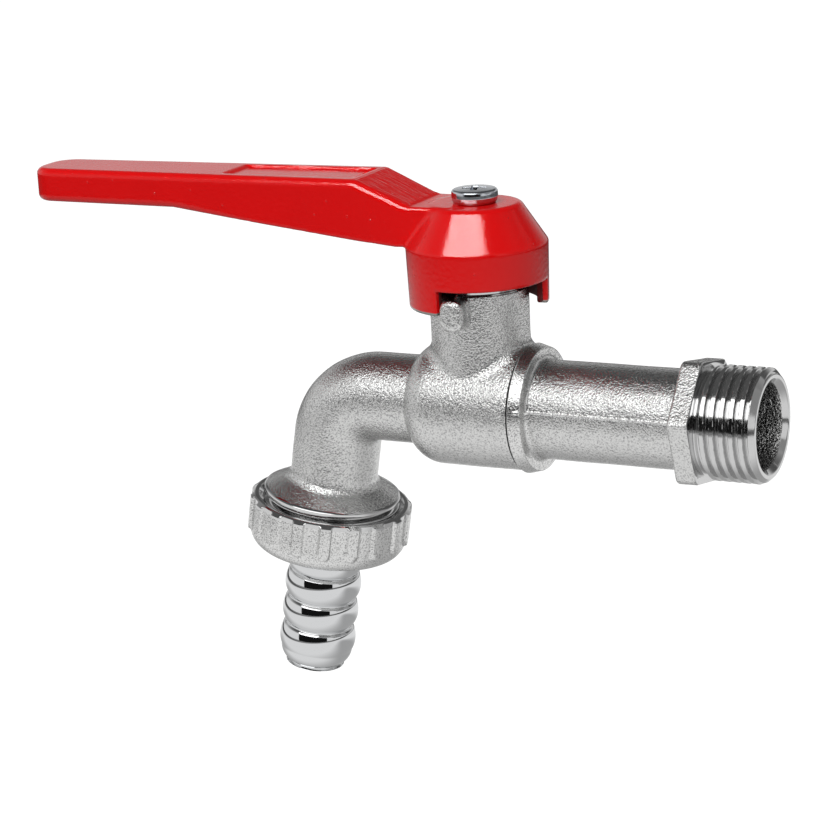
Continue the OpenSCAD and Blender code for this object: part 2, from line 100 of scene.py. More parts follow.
def gridFaces(rows, columns, closeRows):
    # the four corner numbers of every quad between neighbouring grid points; the last column meets the first,
    # and so do the rows if they are closed
    i, j = np.meshgrid(np.arange(rows if closeRows else rows - 1), np.arange(columns), indexing="ij")
    i2, j2 = (i + 1) % rows, (j + 1) % columns
    corners = [i * columns + j, i2 * columns + j, i2 * columns + j2, i * columns + j2]
    return np.stack(corners, -1).reshape(-1, 4)


def enclosedVolume(points, faces):
    # sum over the faces of corner . (corner x corner), which is positive when the faces point outwards
    a, b, c, d = (points[faces[:, k]] for k in range(4))
    return (np.einsum("ij,ij->i", a, np.cross(b, c)) + np.einsum("ij,ij->i", a, np.cross(c, d))).sum()


def makePiece(name, shells, body, node, materials, sharp, materialOf=None):
    # one mesh from closed shells: each is a grid of points, rows x columns x 3, whose columns go round,
    # and whose rows are joined last to first, or closed at either end by a pole
    allPoints, allFaces, count = [], [], 0
    for points, closeRows in shells:
        rows, columns = points.shape[:2]
        flat = points.reshape(-1, 3)
        faces = gridFaces(rows, columns, closeRows)
        if not closeRows:
            # a pole is a fan on the mean point of the end row, of quads with one corner twice
            ring = np.arange(columns)
            after = (ring + 1) % columns
            first, last = len(flat), len(flat) + 1
            flat = np.vstack([flat, points[0].mean(0), points[-1].mean(0)])
            end = (rows - 1) * columns
            faces = np.vstack([faces,
                               np.stack([np.full(columns, first), ring, after, after], -1),
                               np.stack([end + ring, np.full(columns, last), end + after, end + after], -1)])
        if enclosedVolume(flat, faces) < 0:
            faces = faces[:, ::-1]
        allPoints.append(flat)
        allFaces.append(faces + count)
        count += len(flat)
    points, faces = np.vstack(allPoints), np.vstack(allFaces)
    corners = [f[:3] if f[2] == f[3] else (f[1:] if f[0] == f[1] else f) for f in faces.tolist()]
    return finishPiece(name, points, faces, corners, body, node, materials, sharp, materialOf)


def finishPiece(name, points, faces, corners, body, node, materials, sharp, materialOf=None):
    # a smooth mesh with sharp edges past an angle, its materials by face, and its place in the frame
    mesh = bpy.data.meshes.new(name)
    mesh.from_pydata((points * mm).tolist(), [], corners)
    for material in materials:
        mesh.materials.append(material)
    mesh.polygons.foreach_set("use_smooth", np.ones(len(mesh.polygons), dtype=bool))
    mesh.set_sharp_from_angle(angle=math.radians(sharp))
    if materialOf is not None:
        mesh.polygons.foreach_set("material_index", materialOf(points[faces].mean(1)).astype(np.int32))
    mesh.update()
    piece = addObject(name, mesh)
    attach(piece, body)
    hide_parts(node)
    print("made", name, len(mesh.polygons), "faces")
    return piece


def around(n):
    # n angles, evenly round a full turn
    return np.linspace(0, 2 * math.pi, n, endpoint=False)


def carried(origin, normal, side, radius, angle):
    # point = path point + radius x (cos angle x normal + sin angle x side)
    c, s = np.cos(angle), np.sin(angle)
    return origin[:, None] + radius[..., None] * (c[..., None] * normal[:, None] + s[..., None] * side)


def onAxis(start, direction, normal, along, radius, angle):
    # a profile turned about a straight axis: the path point runs along it, and side = direction x normal
    start, direction, normal = (np.array(v, float) for v in (start, direction, normal))
    origin = start + np.asarray(along)[:, None] * direction
    return carried(origin, np.tile(normal, (len(along), 1)), np.cross(direction, normal), radius, angle)


def run(*stations):
    # rows between stations, each (along, radius, how many rows lead up to it), spaced evenly
    along, radius = [stations[0][0]], [stations[0][1]]
    for (a0, r0, _), (a1, r1, n) in zip(stations[:-1], stations[1:]):
        k = np.arange(1, n + 1) / n
        along.extend(a0 + (a1 - a0) * k)
        radius.extend(r0 + (r1 - r0) * k)
    return np.array(along), np.array(radius)


def arcRows(centreAlong, centreRadius, size, fromDegrees, toDegrees, n):
    # rows on a round: along = centre + size x sin, radius = centre + size x cos
    a = np.radians(np.linspace(fromDegrees, toDegrees, n))
    return centreAlong + size * np.sin(a), centreRadius + size * np.cos(a)


def joinRows(*parts):
    return np.concatenate([p[0] for p in parts]), np.concatenate([p[1] for p in parts])


def threadDepth(along, angle, start=0.0):
    # Whitworth form: a crest is where along + start is a pitch times whole turns and angle. The depth below
    # it is the 55 degree flank, with crest and root rounded to 0.137 of the pitch.
    half = math.radians(27.5)
    size, depth = 0.1373 * threadPitch, 0.6403 * threadPitch
    turns = along[:, None] - threadPitch * angle / (2 * math.pi) + start
    x = np.abs((turns / threadPitch + 0.5) % 1 - 0.5) * threadPitch
    y = threadPitch / 2 - x
    crest = size - np.sqrt(np.maximum(size ** 2 - x ** 2, 0))
    root = depth - size + np.sqrt(np.maximum(size ** 2 - y ** 2, 0))
    flank = x / math.tan(half) - 0.9605 * threadPitch / 6
    return np.where(x < size * math.cos(half), crest, np.where(y < size * math.cos(half), root, flank))


def smoothStep(low, high, x):
    # 0 below low and 1 above high, and 3 t squared - 2 t cubed between them
    t = np.clip((x - low) / (high - low), 0, 1)
    return t * t * (3 - 2 * t)


def unevenness(points, size):
    # slow waves of a casting: a sum of sines in three slanted directions, about 1 at most
    p = points / size
    return (np.sin(1.7 * p[..., 0] + 2.3 * p[..., 1] - 0.9 * p[..., 2])
            + np.sin(2.9 * p[..., 2] - 1.3 * p[..., 0] + 0.7)
            + np.sin(2.1 * p[..., 1] + 3.1 * p[..., 2] + 1.9 * p[..., 0] + 2.1)) / 3


# Finishes. Sizes and depths are in millimetres, and rough is the range of the roughness.
def blastedMetal(name, look):
    # a satin metal whose fine dents break each reflection into light and dark grains: two sizes of noise bend
    # the normals, and the floors of the dents are painted darker, as shade where they see less light
    material, tree, place = newMaterial(name, {"Metallic": 1.0})
    fine = put(tree, "TexNoise", {"Vector": place, "Scale": 1 / (look["grain"] * mm), "Detail": 2.0,
                                  "Roughness": 0.55})
    coarse = put(tree, "TexNoise", {"Vector": place, "Scale": 1 / (look["coarse"] * mm), "Detail": 2.0})
    height = put(tree, "Math", {0: coarse, 1: look["swell"], 2: fine}, operation="MULTIPLY_ADD")
    dents = put(tree, "MapRange", {0: fine, 1: look["dents"][0], 2: look["dents"][1]})
    low, high = look["rough"]
    dress(tree, {
        "Base Color": put(tree, "Mix", {0: dents, 6: linear(look["dentShade"]), 7: linear(look["colour"])}, 2,
                          data_type="RGBA"),
        "Normal": put(tree, "Bump", {"Height": height, "Distance": look["depth"] * mm}),
        "Roughness": put(tree, "MapRange", {0: coarse, 1: 0.3, 2: 0.7, 3: low, 4: high})})
    return material


def brightMetal(name, look):
    # a smooth metal: one noise is its faint relief, and another, a haze, makes its gloss uneven; each has a
    # size and a detail
    material, tree, place = newMaterial(name, {"Base Color": linear(look["colour"]), "Metallic": 1.0})
    relief, haze = (put(tree, "TexNoise", {"Vector": place, "Scale": 1 / (size * mm), "Detail": detail})
                    for size, detail in (look["relief"], look["haze"]))
    start, end = look["hazeFrom"]
    low, high = look["rough"]
    dress(tree, {
        "Normal": put(tree, "Bump", {"Height": relief, "Distance": look["depth"] * mm}),
        "Roughness": put(tree, "MapRange", {0: haze, 1: start, 2: end, 3: low, 4: high})})
    return material


def dullMaterial(name, sockets, look):
    # a matt material, mottled in two colours, with the same grain as its faint relief
    material, tree, place = newMaterial(name, sockets)
    perMetre = 1 / (look["grain"] * mm)
    grain = put(tree, "TexNoise", {"Vector": place, "Scale": perMetre, "Detail": look["detail"]})
    colour, mottle = linear(look["colour"]), linear(look["mottle"])
    dress(tree, {"Base Color": put(tree, "Mix", {0: grain, 6: colour, 7: mottle}, 2, data_type="RGBA")})
    if look["depth"]:
        dress(tree, {"Normal": put(tree, "Bump", {"Height": grain, "Distance": look["depth"] * mm})})
    return material


# Nickel-plated cast brass, shot-blasted before plating: bright satin with a clear grain, a third of a
# millimetre across, its dent floors painted darker as shade.
blastedNickel = blastedMetal("blastedNickel", dict(
    colour="#DDDDDC", dentShade="#B4B4B4", dents=(0.34, 0.5), grain=0.34, coarse=1.1, swell=0.6, depth=0.16,
    rough=(0.12, 0.18)))

# The same plating on the nut, blasted with a finer grit: a flatter satin, speckled with small dents painted
# dark as shade.
fineBlastedNickel = blastedMetal("fineBlastedNickel", dict(
    colour="#E6E6E5", dentShade="#ACACAC", dents=(0.34, 0.5), grain=0.3, coarse=1.0, swell=0.5, depth=0.075,
    rough=(0.18, 0.26)))

# The inlet's bore as cast, hardly blasted and thinly plated: dark with bright points, its dent floors painted
# as shade.
castBore = blastedMetal("castBore", dict(
    colour="#E0E0DF", dentShade="#5A5A5B", dents=(0.36, 0.56), grain=0.36, coarse=1.6, swell=0.8, depth=0.24,
    rough=(0.16, 0.22)))

# Nickel-plated brass turned on a lathe before plating: near-mirror threads and faces, with faint tool marks
# about a tenth of a millimetre across that stretch its reflections a little.
turnedNickel = brightMetal("turnedNickel", dict(
    colour="#D4D4D4", relief=(0.12, 1.0), depth=0.0015, haze=(2.0, 3.0), hazeFrom=(0.35, 0.65),
    rough=(0.07, 0.15)))

# Bright chrome over polished brass: a clean mirror, with only a trace of haze and polishing waves.
mirrorChrome = brightMetal("mirrorChrome", dict(
    colour="#DCDDDE", relief=(3.5, 1.0), depth=0.003, haze=(3.5, 1.0), hazeFrom=(0.3, 0.7),
    rough=(0.03, 0.06)))

# Zinc-plated steel, cold-headed: bright and slightly blue, with a soft sheen between mirror and satin.
zincSteel = brightMetal("zincSteel", dict(
    colour="#C9CDD3", relief=(0.8, 2.0), depth=0.006, haze=(0.8, 2.0), hazeFrom=(0.3, 0.7),
    rough=(0.1, 0.2)))

# Bare turned brass of the stem: yellow metal with fine turning lines along its axis.
brass = dict(colour="#D2B15A", line=0.15, depth=0.004, bandAtScaleOne=0.31416)
turnedBrass, tree, place = newMaterial("turnedBrass", {
    "Base Color": linear(brass["colour"]), "Metallic": 1.0, "Roughness": 0.24})
lines = put(tree, "TexWave", {"Vector": place, "Scale": brass["bandAtScaleOne"] / (brass["line"] * mm),
                              "Distortion": 0.4}, 1, bands_direction="Z")
dress(tree, {"Normal": put(tree, "Bump", {"Height": lines, "Distance": brass["depth"] * mm})})

# Painted shade in the seam between body and connector: a matt, nearly black colour, a thin dark line.
paintedSeamShade = newMaterial("paintedSeamShade", {"Base Color": linear("#161514"), "Roughness": 0.65})[0]

# The lever's enamel inside the cap: matt, and painted dark as the shade inside the cap.
shadedInnerEnamel = dullMaterial("shadedInnerEnamel", {"Roughness": 0.7, "IOR": 1.3}, dict(
    colour="#5E0708", mottle="#3A0606", grain=0.9, detail=2.0, depth=0))

# Sintered PTFE of the seats, rings and washer: milky white, waxy and a little uneven.
waxyPtfe = dullMaterial("waxyPtfe", {"Roughness": 0.45, "IOR": 1.38}, dict(
    colour="#E9E8E2", mottle="#DDDBD3", grain=0.7, detail=3.0, depth=0.01))

# Moulded black nitrile rubber of the outlet gasket: matt, with a fine bloom.
nitrileRubber = dullMaterial("nitrileRubber", {"Roughness": 0.75}, dict(
    colour="#1C1B1A", mottle="#2B2A29", grain=0.25, detail=3.0, depth=0.01))

# Red enamel baked on a die-cast zinc lever: a deep gloss with the faint waves of the coat, a few dust nibs,
# fine drag lines down the slope behind the grip, and bare grey metal where the skirt's lower edge has rubbed.
enamel = dict(colour="#D60A0C", deep="#CC0709", patch=9.0, wave=0.7, depth=0.036, nib=3.0, nibHeight=2.7,
              rough=(0.08, 0.13), ior=1.34, lineWidth=0.5, lineLength=6.0, lineDepth=0.12,
              slope=(-66.3, -56.0), slopeAbove=36.5, bare="#8E8C88", bareTop=20.15, ragged=0.5)
redEnamel, tree, place = newMaterial("redEnamel", {"IOR": enamel["ior"]})
atX, atZ = (put(tree, "SeparateXYZ", {0: place}, k) for k in (0, 2))
upwards = put(tree, "SeparateXYZ", {0: put(tree, "TexCoord", {}, "Normal")}, 2)
wave = put(tree, "TexNoise", {"Vector": place, "Scale": 1 / (enamel["wave"] * mm), "Detail": 3.0})
patch = put(tree, "TexNoise", {"Vector": place, "Scale": 1 / (enamel["patch"] * mm), "Detail": 2.0})
nibs = put(tree, "TexVoronoi", {"Vector": place, "Scale": 1 / (enamel["nib"] * mm)}, "Distance")
nibs = put(tree, "MapRange", {0: nibs, 1: 0.02, 2: 0.09, 3: enamel["nibHeight"], 4: 0.0})
perLength, perWidth = 1 / (enamel["lineLength"] * mm), 1 / (enamel["lineWidth"] * mm)
stretched = put(tree, "Mapping", {"Vector": place, "Scale": (perLength, perWidth, perLength)})
streak = put(tree, "TexNoise", {"Vector": stretched, "Scale": 1.0, "Detail": 2.0})
# the drag lines show where four masks meet: past the bend, off the cap, high up, and on a face that looks up
for reads, start, width, low, high in ((atX, enamel["slope"][0] * mm, 0.3 * mm, 0.0, enamel["lineDepth"]),
                                       (atX, enamel["slope"][1] * mm, 0.7 * mm, 1.0, 0.0),
                                       (atZ, enamel["slopeAbove"] * mm, 0.5 * mm, 0.0, 1.0),
                                       (upwards, 0.75, 0.13, 0.0, 1.0)):
    mask = put(tree, "MapRange", {0: reads, 1: start, 2: start + width, 3: low, 4: high})
    streak = put(tree, "Math", {0: streak, 1: mask}, operation="MULTIPLY")
flaws = put(tree, "Math", {0: wave, 1: nibs}, operation="ADD")
flaws = put(tree, "Math", {0: flaws, 1: enamel["depth"], 2: streak}, operation="MULTIPLY_ADD")
colour, deep = linear(enamel["colour"]), linear(enamel["deep"])
red = put(tree, "Mix", {0: patch, 6: colour, 7: deep}, 2, data_type="RGBA")
edge = put(tree, "Math", {0: patch, 1: enamel["ragged"] * mm, 2: atZ}, operation="MULTIPLY_ADD")
worn = put(tree, "MapRange", {0: edge, 1: enamel["bareTop"] * mm, 2: (enamel["bareTop"] + 0.12) * mm,
                              3: 1.0, 4: 0.0})
low, high = enamel["rough"]
dress(tree, {
    "Base Color": put(tree, "Mix", {0: worn, 6: red, 7: linear(enamel["bare"])}, 2, data_type="RGBA"),
    "Metallic": worn,
    "Normal": put(tree, "Bump", {"Height": flaws, "Distance": mm}),
    "Roughness": put(tree, "MapRange", {0: patch, 1: 0.3, 2: 0.7, 3: low, 4: high})})

for material, nodes in ((turnedNickel, ["gland_nut"]), (turnedBrass, ["stem"]), (mirrorChrome, ["ball"]),
                        (nitrileRubber, ["outlet_gasket"]),
                        (waxyPtfe, ["body_seal_ring", "inlet_seat", "outlet_seat", "thrust_washer",
                                    "lower_packing_ring", "upper_packing_ring"])):
    for node in nodes:
        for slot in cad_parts[node].material_slots:
            slot.material = material
print("materials made")

# Cast body: chamber, spout, elbow, flared outlet with its thread, neck and stop lug
castBody = dict(chamberR=11.7, shoulderR=6.5, shoulderAt=-51.99, spoutR=8.4, bore=6.4, waterway=5.2,
                pocketR=8.25, mouthR=10.0, flareRound=2.5, flareStart=15.67, rimAt=19.9, threadR=13.2205,
                rootR=12.3, threadEnd=26.1, endBevel=0.9, neckR=9.2, neckTop=22.5, boreR=6.02, ringR=8.8,
                ringTop=23.6, fillet=3.2, lugSpread=0.2, lugHeight=5.9, lugMiddle=19.5, lugFace=12.8,
                lugRound=1.15, lugRoot=0.8, seamIn=11.45)
c = SimpleNamespace(**castBody)
cutCorner = elbowRadius * math.tan((math.pi / 2 - outletTilt) / 2)
bendStart = seamX - (outletX + cutCorner)                    # path length from the seam
bendLength = elbowRadius * (math.pi / 2 - outletTilt)
drop = bendStart + bendLength - cutCorner                    # path length = drop + length down the outlet
rim, end = drop + c.rimAt, drop + c.threadEnd


def bodyPath(t):
    # straight along -X, then round the bend by angle (t - start) / radius, then straight down the outlet;
    # direction = (-cos a, 0, -sin a) and normal = (-sin a, 0, cos a)
    a = np.clip((t - bendStart) / elbowRadius, 0, bendLength / elbowRadius)
    direction = np.stack([-np.cos(a), 0 * a, -np.sin(a)], -1)
    normal = np.stack([-np.sin(a), 0 * a, np.cos(a)], -1)
    onBend = np.array([seamX - bendStart, 0, -elbowRadius]) + elbowRadius * normal
    before = np.minimum(t - bendStart, 0)[:, None] * direction
    after = np.maximum(t - bendStart - bendLength, 0)[:, None] * direction
    return onBend + before + after, normal


shoulder = arcRows(seamX - c.shoulderAt, c.chamberR - c.shoulderR, c.shoulderR, 0,
                   math.degrees(math.acos((c.spoutR - c.chamberR + c.shoulderR) / c.shoulderR)), 18)
outer = joinRows(
    run((0.02, 10.9, 0), (0.2, 10.95, 1), (0.28, 11.5, 2), (0.34, c.chamberR - 0.06, 2),
        (0.48, c.chamberR, 2), (16.8, c.chamberR, 20)),
    shoulder,
    run((shoulder[0][-1] + 0.35, c.spoutR, 0), (bendStart, c.spoutR, 12),
        (bendStart + bendLength, c.spoutR, 40), (drop + c.flareStart - 0.3, c.spoutR, 10)),
    arcRows(drop + c.flareStart, c.spoutR + c.flareRound, -c.flareRound, 0, -60, 12),
    run((rim - 0.35, 12.75, 0), (rim - 0.12, 13.1, 2), (rim + 0.02, c.threadR, 2), (rim + 0.42, c.threadR, 3),
        (rim + 0.62, c.rootR, 3), (end - 0.05, c.rootR, 88), (end, c.rootR - 0.3, 2), (end, 6.6, 8)))
along, radius = joinRows(outer, run(
    (end - 0.2, c.bore, 0), (bendStart + bendLength, c.bore, 12), (bendStart, c.bore, 24),
    (19.1, c.bore, 4), (19.1, c.waterway, 1), (18.1, c.waterway, 1), (18.1, c.pocketR, 2),
    (5.35, c.pocketR, 4), (5.35, c.mouthR, 1), (0.02, c.mouthR, 3)))
angle = around(168)
radius = np.tile(radius[:, None], (1, len(angle)))
number = np.arange(len(along))
isOuter = number < len(outer[0])
isThread = (along > rim + 0.42) & (radius[:, 0] > 11.9) & isOuter
screwed = c.threadR - threadDepth(along, angle) * np.clip((along[:, None] - rim - 0.4) / 0.3, 0, 1)
bevel = c.threadR - np.maximum(along - (end - c.endBevel), 0)[:, None]
radius = np.where(isThread[:, None], np.minimum(screwed, bevel), radius)
origin, normal = bodyPath(along)
sideways = np.array([0.0, 1.0, 0.0])
isCast = (number > 3) & (along < rim - 0.3) & isOuter
lift = castWave * unevenness(carried(origin, normal, sideways, radius, angle), castWaveSize) * isCast[:, None]
sweep = carried(origin, normal, sideways, radius + lift, angle)

# Neck: a round of radius fillet rolls between it and the chamber, a smaller one where the seam leaves less
# room. Its centre lies that far from both, and the surface runs between the two touching points.
turnAt = around(160)
room = np.where(np.cos(turnAt) > 0.2, (seamX - stemX - 0.05) / np.maximum(np.cos(turnAt), 0.2) - c.neckR, 9)
size = -np.logaddexp(-4 * np.minimum(room, 9), -4 * c.fillet) / 4
centreX, centreY = (c.neckR + size) * np.cos(turnAt), (c.neckR + size) * np.sin(turnAt)
past = np.minimum(centreX - (c.shoulderAt - stemX), 0)
lift = np.sqrt((c.shoulderR + size) ** 2 - past ** 2)
reach = c.chamberR - c.shoulderR + lift
centreZ = np.sqrt(reach ** 2 - centreY ** 2)
centre = np.stack([centreX, centreY, centreZ], -1)
toNeck = np.stack([-np.cos(turnAt), -np.sin(turnAt), 0 * turnAt], -1)
toChamber = -np.stack([past, lift * centreY / reach, lift * centreZ / reach], -1)
toChamber /= np.linalg.norm(toChamber, axis=1, keepdims=True)
between = np.arccos((toNeck * toChamber).sum(1))[:, None]
filletRows = []
for k in np.linspace(1, 0, 12):
    aim = (np.sin((1 - k) * between) * toNeck + np.sin(k * between) * toChamber) / np.sin(between)
    filletRows.append(centre + size[:, None] * aim)
sunk = 0.5 * filletRows[0] / np.linalg.norm(filletRows[0], axis=1, keepdims=True) * np.array([1, 1, 1.5])
ringAt = lambda r, z: np.stack([r * np.cos(turnAt), r * np.sin(turnAt), z + 0 * turnAt], -1)
low = filletRows[-1][:, 2]
wall = [ringAt(c.neckR, low + (c.neckTop - 0.4 - low) * k) for k in np.linspace(0.08, 1, 16)]
top = [ringAt(c.neckR - inwards, c.neckTop + rise) for inwards, rise in ((0.03, -0.12), (0.12, 0))]
top += [ringAt(c.ringR - inwards, c.neckTop + rise)
        for inwards, rise in ((0.3, -0.03), (0.3, 0.1), (0.14, 0.18))]
top += [ringAt(c.ringR, c.ringTop - 0.25), ringAt(c.ringR - 0.25, c.ringTop)]
top += [ringAt(c.boreR + 0.28, c.ringTop), ringAt(c.boreR, c.ringTop - 0.25)]
top += [ringAt(c.boreR, 12.5), ringAt(4.1, 12.3), ringAt(4.1, 9.5), ringAt(7.5, 8.6)]
neck = np.stack([filletRows[0] - sunk] + filletRows + wall + top)
outwards = neck * np.array([1, 1, 0])
outwards /= np.linalg.norm(outwards, axis=-1, keepdims=True)
neck = neck + np.array([stemX, 0, 0])
isCast = np.ones(len(neck))
isCast[-len(top):], isCast[:1] = 0, 0
neck = neck + outwards * (castWave * unevenness(neck, castWaveSize) * isCast[:, None])[..., None]

# Stop lug: a rounded oblong carried outwards from the neck, flared at its root, with a pillow-shaped face
across = around(96)
squareness = (np.abs(np.cos(across)) ** 3.2 + np.abs(np.sin(across)) ** 3.2) ** (-1 / 3.2)
roll = np.radians(np.linspace(0, 88, 16))
depth = np.concatenate([np.linspace(7.6, 10.2, 9), np.linspace(10.5, c.lugFace - c.lugRound, 6)[:-1],
                        c.lugFace - c.lugRound * (1 - np.sin(roll))])
inset = np.concatenate([np.zeros(14), c.lugRound * 1.15 * (1 - np.cos(roll))])
flared = c.lugRoot * (1 - smoothStep(8.4, 10.4, depth))
halfWide, halfHigh = depth * c.lugSpread + flared - inset, c.lugHeight / 2 + flared * 0.7 - inset
lugX = stemX + halfWide[:, None] * squareness * np.cos(across)
lugZ = np.minimum(c.lugMiddle + halfHigh[:, None] * squareness * np.sin(across), c.neckTop - 0.02)
lug = np.stack([lugX, np.tile(-depth[:, None], (1, len(across))), lugZ], -1)
lug = lug + 0.06 * unevenness(lug, 1.1)[..., None] * np.array([0.6, 1.0, 0.6]) * (depth > 8.5)[:, None, None]


def bodyFinish(centres):
    # turned metal on the outlet's rim, thread and end, and on the neck's top face; painted shade down in the
    # seam
    s = (centres - np.array([outletX, 0, 0])) @ np.array([-math.sin(outletTilt), 0, -math.cos(outletTilt)])
    onOutlet = (s > castBody["rimAt"] - 0.4) & (centres[:, 0] < -60)
    isTurned = onOutlet | (centres[:, 2] > castBody["neckTop"] - 0.05)
    inSeam = (centres[:, 0] > seamX - 0.3) & (np.hypot(centres[:, 1], centres[:, 2]) < castBody["seamIn"])
    return np.where(isTurned, 1, np.where(inSeam, 2, 0))


makePiece("castBody", [(sweep, True), (neck, True), (lug, False)], "valve_body", "body",
          [blastedNickel, turnedNickel, paintedSeamShade], 28, bodyFinish)

# Inlet connector: spigot, flange, pipe, hexagon and inlet thread, whose crests are turned flat
connector = dict(spigotFrom=-39.35, spigotR=9.95, pocketR=8.25, flangeR=12.1, rimEndR=11.6, rim=2.15,
                 shoulder=0.3, pipeR=9.2, pipeFillet=0.95, hexFlats=22.0, hexTurn=79.5, hexFrom=-3.9,
                 hexCornerR=12.42, hexBackRound=0.62, hexFrontRound=0.22, turnedR=12.1, turnedSlope=1.6,
                 threadR=10.4775, groove=1.35, crestCut=0.42, threadStart=0.3, end=11.6, endBevel=1.0,
                 neckR=9.25, bore=7.7, waterway=5.2,
                 partingAngle=79.5, parting=0.12, partingWidth=0.2)
c = SimpleNamespace(**connector)
rimEnd, face = seamX + c.rim, seamX + c.rim + c.shoulder
outer = joinRows(
    run((c.spigotFrom, 9.4, 0), (c.spigotFrom + 0.3, c.spigotR, 1), (seamX - 0.02, c.spigotR, 6),
        (seamX, 11.0, 1), (seamX + 0.02, 11.6, 2), (seamX + 0.14, c.flangeR - 0.08, 2),
        (seamX + 0.3, c.flangeR, 2), (rimEnd, c.rimEndR, 3)),
    arcRows(rimEnd, c.rimEndR - c.shoulder, c.shoulder, 18, 90, 10),
    run((face, 11.1, 0), (face, 10.4, 3)),
    arcRows(face + c.pipeFillet, c.pipeR + c.pipeFillet, -c.pipeFillet, 84, 0, 8),
    run((seamX + 4.2, c.pipeR, 0), (c.hexFrom - 0.5, c.pipeR, 30)))
hexRows = joinRows(
    run((c.hexFrom - 0.12, c.pipeR + 0.02, 0), (c.hexFrom - 0.02, c.pipeR + 0.3, 1),
        (c.hexFrom, 10.3, 3)),
    run((c.hexFrom, 10.8, 0), (c.hexFrom + c.hexBackRound, 12.7, 9), (-0.45, 12.7, 14), (0.0, 12.0, 8)))
runOut = run((0.0, 10.6, 0), (0.0, c.neckR + 0.25, 5), (0.1, c.neckR + 0.05, 2), (0.25, c.neckR, 1))
threadRows = run((0.3, c.neckR, 0), (c.end - 0.04, c.neckR, 210))
inner = run((c.end, 9.4, 0), (c.end, 8.72, 4), (c.end - 0.06, 8.62, 2), (c.end - 1.0, c.bore + 0.05, 6),
            (c.end - 1.15, c.bore, 1), (-20, c.bore, 30), (-29.6, c.bore, 6), (-33.6, c.waterway, 4),
            (-36.8, c.waterway, 2), (-36.8, c.pocketR, 2), (c.spigotFrom + 0.02, c.pocketR, 4))
along, radius = joinRows(outer, hexRows, runOut, threadRows, inner)
number = np.arange(len(along))
hexFrom, frontFrom = len(outer[0]) + 4, len(outer[0]) + len(hexRows[0])
threadFrom = frontFrom + len(runOut[0])
# more angles about the two parting lines, which are narrow
partTurns = math.radians(c.partingAngle) + np.linspace(-0.09, 0.09, 21)
angle = np.unique(np.round(np.concatenate([around(192), partTurns, partTurns + math.pi]), 6))
radius = np.tile(radius[:, None], (1, len(angle)))

# Hexagon: radius = half the flats / cos of the angle from the nearest flat, drawn in at its corners and edges
fromFlat = (angle - math.radians(c.hexTurn)) % (math.pi / 3) - math.pi / 6
hexagon = c.hexFlats / 2 / np.cos(fromFlat)
hexagon = c.hexCornerR - np.logaddexp(0, (c.hexCornerR - hexagon) * 12) / 12
fromBack, fromFront = along - c.hexFrom, -along
backRound, frontRound = (size - np.sqrt(np.maximum(size ** 2 - np.maximum(size - away, 0) ** 2, 0))
                         for size, away in ((c.hexBackRound, fromBack), (c.hexFrontRound, fromFront)))
turnedBack = c.turnedR + np.maximum(fromFront, 0) * c.turnedSlope
hexSection = np.minimum(hexagon[None] - backRound[:, None] - frontRound[:, None], turnedBack[:, None])
isHex = (number >= hexFrom) & (number < frontFrom)
radius = np.where(isHex[:, None], hexSection, radius)

# Thread: a run-out neck behind it, and a bevel of about 45 degrees at its end
isThread = (number >= threadFrom) & (number < threadFrom + len(threadRows[0]))
flatCrested = np.maximum(threadDepth(along, angle, c.threadStart) - c.crestCut, 0)
cut = smoothStep(0.5, 1.5, along)[:, None]
screwed = c.neckR * (1 - cut) + (c.threadR - c.groove * flatCrested) * cut
bevel = c.threadR - np.maximum(along - (c.end - c.endBevel), 0)[:, None] * 1.05
radius = np.where(isThread[:, None], np.minimum(screwed, bevel), radius)

# Parting line of the casting along the pipe and the hexagon: a low, narrow ridge on either side
arcs = [(angle - math.radians(turn) + math.pi) % (2 * math.pi) - math.pi
        for turn in (c.partingAngle, c.partingAngle + 180)]
ridge = sum(c.parting * np.exp(-(a * c.pipeR / c.partingWidth) ** 2) for a in arcs)
isCast = (along > seamX + 1.3) & (along < -0.3) & (number < frontFrom)
points = onAxis((0, 0, 0), (1, 0, 0), (0, 0, 1), along, radius, angle)
radius = radius + np.where(isCast[:, None], ridge[None] + castWave * unevenness(points, castWaveSize), 0)
connectorPoints = onAxis((0, 0, 0), (1, 0, 0), (0, 0, 1), along, radius, angle)


def connectorFinish(centres):
    # painted shade in the seam, turned metal on spigot, thread and end, the bore as cast, finer grain on the
    # flange
    x, r = centres[:, 0], np.hypot(centres[:, 1], centres[:, 2])
    inSeam = (np.abs(x - seamX) < 0.1) & (r > connector["spigotR"] + 0.02)
    isTurned = (x < seamX - 0.03) | (x > -0.03) & (r > connector["bore"] + 0.05)
    inBore, onFlange = r < connector["bore"] + 0.3, x < seamX + 3.0
    return np.where(inSeam, 4, np.where(isTurned, 1, np.where(inBore, 2, np.where(onFlange, 3, 0))))


makePiece("inletConnector", [(connectorPoints, True)], "valve_body", "inlet_connector",
          [blastedNickel, turnedNickel, castBore, fineBlastedNickel, paintedSeamShade], 30, connectorFinish)

# Union nut, on the outlet axis
outletAxis = ((outletX, 0, 0), (-math.sin(outletTilt), 0, -math.cos(outletTilt)),
              (-math.cos(outletTilt), 0, math.sin(outletTilt)))      # its start, its way down and its normal
nut = dict(top=21.45, bottom=31.65, wallR=15.2, ribs=18, ribHeight=0.55, ribSide=(0.9, 1.36), ribTurn=5.6,
           ribEnd=28.85, ribRound=1.15, round=3.2, hole=8.05, ledge=29.8, threadR=13.32, bevelR=14.85,
           bevelSlope=1.35, wave=0.03, waveSize=3.0)
c = SimpleNamespace(**nut)
mouth = run((c.top + 0.85, 13.4, 0), (c.top + 0.02, 14.15, 5), (c.top, 14.22, 1),
            (c.top, c.bevelR - 0.05, 4))
outside = joinRows(
    run((c.top + 0.02, c.wallR, 0), (c.top + 1.1, c.wallR, 18), (27.6, c.wallR, 24)),
    arcRows(c.bottom - c.round, c.wallR - c.round, c.round, 0, 90, 34))
